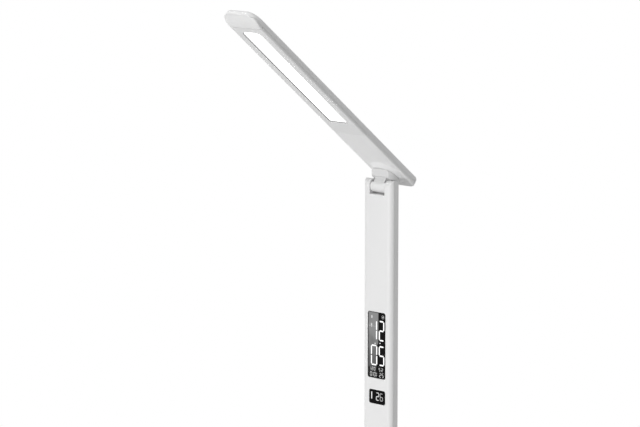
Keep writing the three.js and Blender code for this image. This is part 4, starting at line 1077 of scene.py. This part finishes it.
# %% Lit diffuser
milky_light = paint = Paint("milky_light", Base_Color=grey(0.9), Roughness=0.35,
                            Emission_Strength=1.0)
x, y, z = paint.axes()
_, hinge_y, hinge_z = (upper_hinge * MM).tolist()
length = (z - hinge_z) * float(np.sin(tilt)) - (y - hinge_y) * float(np.cos(tilt))
DIODE_STEPS = 18
pitch = (LIGHT_END - LIGHT_START) / DIODE_STEPS * MM
beat = (length * float(2 * np.pi / pitch)).math("COSINE")
rows = (x * float(2 * np.pi / (LIGHT_SIDE * MM))).math("COSINE")
glow = 1.02 - 0.02 * rows + 0.01 * beat
paint.colour(glow - 0.2, 0.8, 1.25, "Emission Color")

# %% [markdown]
# The display panes are near-black gloss. The left part of the tall pane shines grey with a painted
# reflection, a faint light of the pane's own that is set by the place across and up the post: it
# ends at a dark border, fades downwards, and has the fine upright lines of the crystal's
# electrodes.

# %% Display pane
display_pane = paint = Paint("display_pane", Base_Color=grey(0.003), IOR=1.5,
                             Specular_IOR_Level=0.04, Emission_Strength=1.0)
x, _, z = paint.axes()
foot = float(lower_hinge[2] * MM)
left, _, low, high = (np.array(MAIN_WINDOW) * MM).tolist()
low, high = foot + low, foot + high
step = paint.ramp(z, foot + 0.1235, foot + 0.1270)
across = paint.ramp(0.0001 + 0.0022 * step - x, -0.0006, 0.0010)
across = across * paint.ramp(x, left + 0.0005, left + 0.0016)
upright = paint.ramp(z, low + 0.0095, low + 0.0130) * paint.ramp(high - z, 0.0004, 0.0014)
lines = 1.0 + 0.10 * (x * 5200.0).math("SINE")
reflection_fade = paint.ramp(z, foot + 0.100, foot + 0.152, 0.42, 1.05) * lines
reflection_cloud = paint.ramp(paint.noise(150, 2, (1, 1, 0.6)), 0.3, 0.7, 0.85, 1.12)
# Painted reflection: a grey light on the left of the tall pane, set by place, that fades downwards.
painted_reflection = across * (0.22 + 0.78 * upright) * paint.ramp(z, low + 0.0004, low + 0.0014)
paint.colour(painted_reflection * reflection_fade * reflection_cloud, 0.002, 0.27, "Emission Color")
paint.rough(paint.noise(60, 4), 0.06, 0.14, 0.35)

# %% Lit segments
def lit(name, level):
    paint = Paint(name, Base_Color=grey(min(0.3, level)), Roughness=0.5, Emission_Strength=1.0)
    paint.colour(paint.noise(500, 1), 0.92 * level, 1.08 * level, "Emission Color")
    return paint


SEGMENT_LEVELS = dict(lit=1.0, bright=0.62, middle=0.34, faint=0.2)
segment = {name: lit(f"segment_{name}", level) for name, level in SEGMENT_LEVELS.items()}

# %% [markdown]
# The metal inside is steel that was brushed or rolled: a noise stretched along one direction sets
# its roughness and a slight bump. The boards are green with copper runs under the mask, the pad is
# dimpled rubber, and the inlet is black with a bright pin in the middle.

# %% Steel, screws and boards
def brushed(name, tone, stretch, rough=0.3):
    paint = Paint(name, Base_Color=(tone, tone * 1.01, tone * 1.03, 1), Metallic=1.0)
    streaks = paint.noise(900, 4, stretch)
    paint.rough(streaks, rough - 0.08, rough + 0.1)
    paint.bump(streaks, 0.15, 0.00003)
    return paint


steel_across = brushed("steel_brushed", 0.62, (0.04, 1, 1))
screw_metal = brushed("screw_zinc", 0.55, (1, 0.2, 1), 0.34)

circuit_board = paint = Paint("circuit_board", Roughness=0.42, Coat_Weight=0.3)
turn = {"Vector": paint.place(), "Rotation": (1.5708, 0, 0)}
runs = paint.node("TexBrick", {"offset": 0.37, "squash": 1.4}, {
    "Vector": paint.node("Mapping", None, turn), "Scale": 180.0, "Mortar Size": 0.06,
    "Color1": grey(0), "Color2": grey(0.2), "Mortar": grey(1)}, "Fac")
paint.colour(runs, (0.012, 0.11, 0.045, 1), (0.03, 0.2, 0.08, 1))
paint.bump(runs, 0.3, 0.00008)

# %% Glass of the liquid crystal modules, rubber, inlet and touch strip
crystal_module = paint = Paint("crystal_module", IOR=1.5)
pixels = paint.cells(1400.0, 0.0, distance="CHEBYCHEV")
paint.colour(pixels, 0.02, 0.05)
paint.rough(pixels, 0.15, 0.3, 0, 1)

pad_rubber = paint = Paint("pad_rubber", IOR=1.5)
dimples = paint.cells(620.0, 0.15, feature="SMOOTH_F1")
paint.colour(paint.noise(300, 4), 0.022, 0.04)
paint.rough(dimples, 0.78, 0.92, 0, 1)
paint.bump(dimples, 0.6, 0.0002)

# Painted shade: the dark grey of the strip that stands for the shadow beside the light.
seal_grey = speckled("seal_grey", (400, 3, 0.19, 0.25), (250, 2, 0.7, 0.85), IOR=1.45,
                     Specular_IOR_Level=0.2)

inlet_black = paint = Paint("inlet_black", IOR=1.5)
x, _, z = paint.axes()
height = z - INLET_Z * MM
pin = paint.ramp(x * x + height * height, 0.0011**2, 0.0009**2)
paint.colour(pin, 0.014, (0.62, 0.6, 0.56, 1))
paint.feed("Metallic", pin)
paint.rough(paint.noise(900, 3), 0.3, 0.5)

touch_gloss = speckled("touch_gloss", (30, 2, 0.79, 0.82), (50, 3, 0.10, 0.17, 0.35), IOR=1.5,
                       Coat_Roughness=0.05)
weight = touch_gloss.ramp(touch_gloss.noise(20, 1), 0.3, 0.7, 0.4, 0.6)
touch_gloss.feed("Coat Weight", weight)

sign_print = paint = Paint("sign_print", Roughness=0.4)
paint.colour(paint.noise(800, 2), 0.16, 0.2)

# %% Give every piece and every CAD node its finish
def named(*words):
    """The CAD nodes whose names have one of the words."""
    return [name for name in frame["nodes"] if any(word in name for word in words)]


FINISHES = [
    (shell_white, top_shell, nose, rear_cover, lip, front_half, rear_half, column, *stand_hinge,
     neck_hinge[0], base_shell, bed, "hinge_stand", *named("_shell", "_plate", "_cap", "_cover")),
    (bezel_white, bezel, "lamp_bezel"),
    (neck_white, turntable, neck_hinge[1], "swivel_neck"),
    (button_white, *BUTTONS, *buttons),
    (milky_light, diffuser, "diffuser"),
    (display_pane, "main_display_window", "small_display_window"),
    (segment["lit"], clock_numbers, colon_marks),
    (segment["bright"], degree_tens, sun_marks, level_bar),
    (segment["middle"], degree_ones, date_numbers, ghost_marks),
    (segment["faint"], ghost_line),
    (seal_grey, shade_strip),
    (crystal_module, "main_lcd", "small_lcd"),
    (circuit_board, "display_board", "led_board", "touch_board"),
    (pad_rubber, "anti_slip_pad"),
    (inlet_black, "power_inlet"),
    (touch_gloss, panel, "touch_panel"),
    (sign_print, signs),
    (steel_across, *named("pin", "washer", "weight", "cell")),
    (screw_metal, *named("screw"), *screw_heads)]
for paint, *things in FINISHES:
    for thing in things:
        data = (frame["nodes"][thing] if isinstance(thing, str) else thing).data
        data.materials.clear()
        data.materials.append(paint.material)
bare = [name for name, node in frame["nodes"].items() if not node.data.materials or
        not node.data.materials[0].use_nodes or node.data.materials[0].name[-4:-3] == "."]
print("CAD nodes without a finish:", bare)

# %% [markdown]
# ## Floor, light and world
# The photograph has a white ground and soft light from the front. A low lamp in front, a broad one
# above and a plain world light the object at a level where a colour renders about as written. The
# white comes from the world and the floor as the camera sees them, and not from more light. Near
# the base the floor keeps the object's shadow; further out it turns plain white for the camera.

# %% Floor
FLOOR_REACH, SHADOW_END, WHITE_START = 60.0, 0.22, 0.40
corners = [(x * FLOOR_REACH, y * FLOOR_REACH, 0) for x, y in ((-1, -1), (1, -1), (1, 1), (-1, 1))]
floor_mesh = bpy.data.meshes.new("floor")
floor_mesh.from_pydata(corners, [], [(0, 1, 2, 3)])
add_object("floor", floor_mesh)

paint = Paint("floor_white", Roughness=0.9, Specular_IOR_Level=0.0, Emission_Strength=1.0)
x, y, _ = paint.axes()
far = paint.ramp((x * x + y * y).math("SQRT"), SHADOW_END, WHITE_START)
seen = paint.plain_rays()
paint.colour(paint.noise(6, 3), 0.67, 0.69)
paint.colour(seen, 0.0, 0.46, "Emission Color")
own = Wire(paint, paint.shader.outputs[0])
paint.show("Material", far * seen, own, paint.white("Emission", 1.0))
floor_mesh.materials.append(paint.material)

# %% [markdown]
# The world is a little brighter in front of the object and behind it than at its two sides: it adds
# a share of the square of the direction's Y part.

# %% World
AMBIENT, FRONT_AND_BACK = 0.45, 0.06
world = bpy.data.worlds.new("studio")
bpy.context.scene.world = world
world.use_nodes = True
studio = Nodes(world.node_tree)
seen = studio.node("TexCoord", output="Generated")
way = studio.node("SeparateXYZ", None, {0: seen}, "Y")
ambient = studio.white("Background", AMBIENT + FRONT_AND_BACK * way * way)
studio.show("World", studio.plain_rays(), ambient, studio.white("Background", 1.0))

# %% Lamps in front and above
def stand_at(thing, place, right, back):
    """Places an object by its own right and back directions, both of length one."""
    matrix = np.eye(4)
    matrix[:3] = np.stack([right, np.cross(back, right), back, place], 1)
    thing.matrix_world = Matrix(matrix.tolist())


def lamp(name, place, target, size, level):
    """An oblong area lamp; level is the brightness it gives to a white face that looks at it."""
    away = np.subtract(place, target)
    far_off = float(np.linalg.norm(away))
    data = bpy.data.lights.new(name, "AREA")
    data.shape, (data.size, data.size_y) = "RECTANGLE", size
    data.energy = float(level * np.pi**2 * far_off**2)
    side = np.cross([0, 0, 1], away)
    stand_at(add_object(name, data), place, side / np.linalg.norm(side), away / far_off)


lamp("front_lamp", (0.0, -2.7, 0.14), (0, 0, 0.3), (1.2, 0.28), 0.50)
lamp("top_lamp", (0.3, -0.8, 3.2), (0, 0, 0.3), (1.6, 1.6), 0.24)

# %% [markdown]
# ## Camera
# The view was found by fitting a long lens to the edges of the post, the windows and the head:
# 43.58 degrees round from the front, 9.13 degrees above level. The camera is placed so that the
# upper hinge falls on the same point of a 640 by 427 picture as in the photograph.

# %% Camera
azimuth, elevation, focal, distance = np.radians(43.58), np.radians(9.13), 2641.6, 2.6092
PICTURE_WIDTH, HINGE_AT, MIDDLE = 640, np.array([381.0, 185.2]), np.array([320, 213.5])
right = np.array([np.cos(azimuth), np.sin(azimuth), 0])
back = np.array([right[1] * np.cos(elevation), -right[0] * np.cos(elevation), np.sin(elevation)])
shift_right, shift_down = (HINGE_AT - MIDDLE) * distance / focal
place = (upper_hinge * MM + distance * back - shift_right * right
         + shift_down * np.cross(back, right))
camera_data = bpy.data.cameras.new("photo_camera")
camera_data.sensor_width = 36.0
camera_data.lens = float(focal * camera_data.sensor_width / PICTURE_WIDTH)
camera_data.clip_end = 300
camera = add_object("photo_camera", camera_data)
stand_at(camera, place, right, back)
bpy.context.scene.camera = camera
bpy.context.scene.view_settings.view_transform = "Standard"
print("camera at", np.round(place, 3), "lens", round(camera_data.lens, 1), "mm")
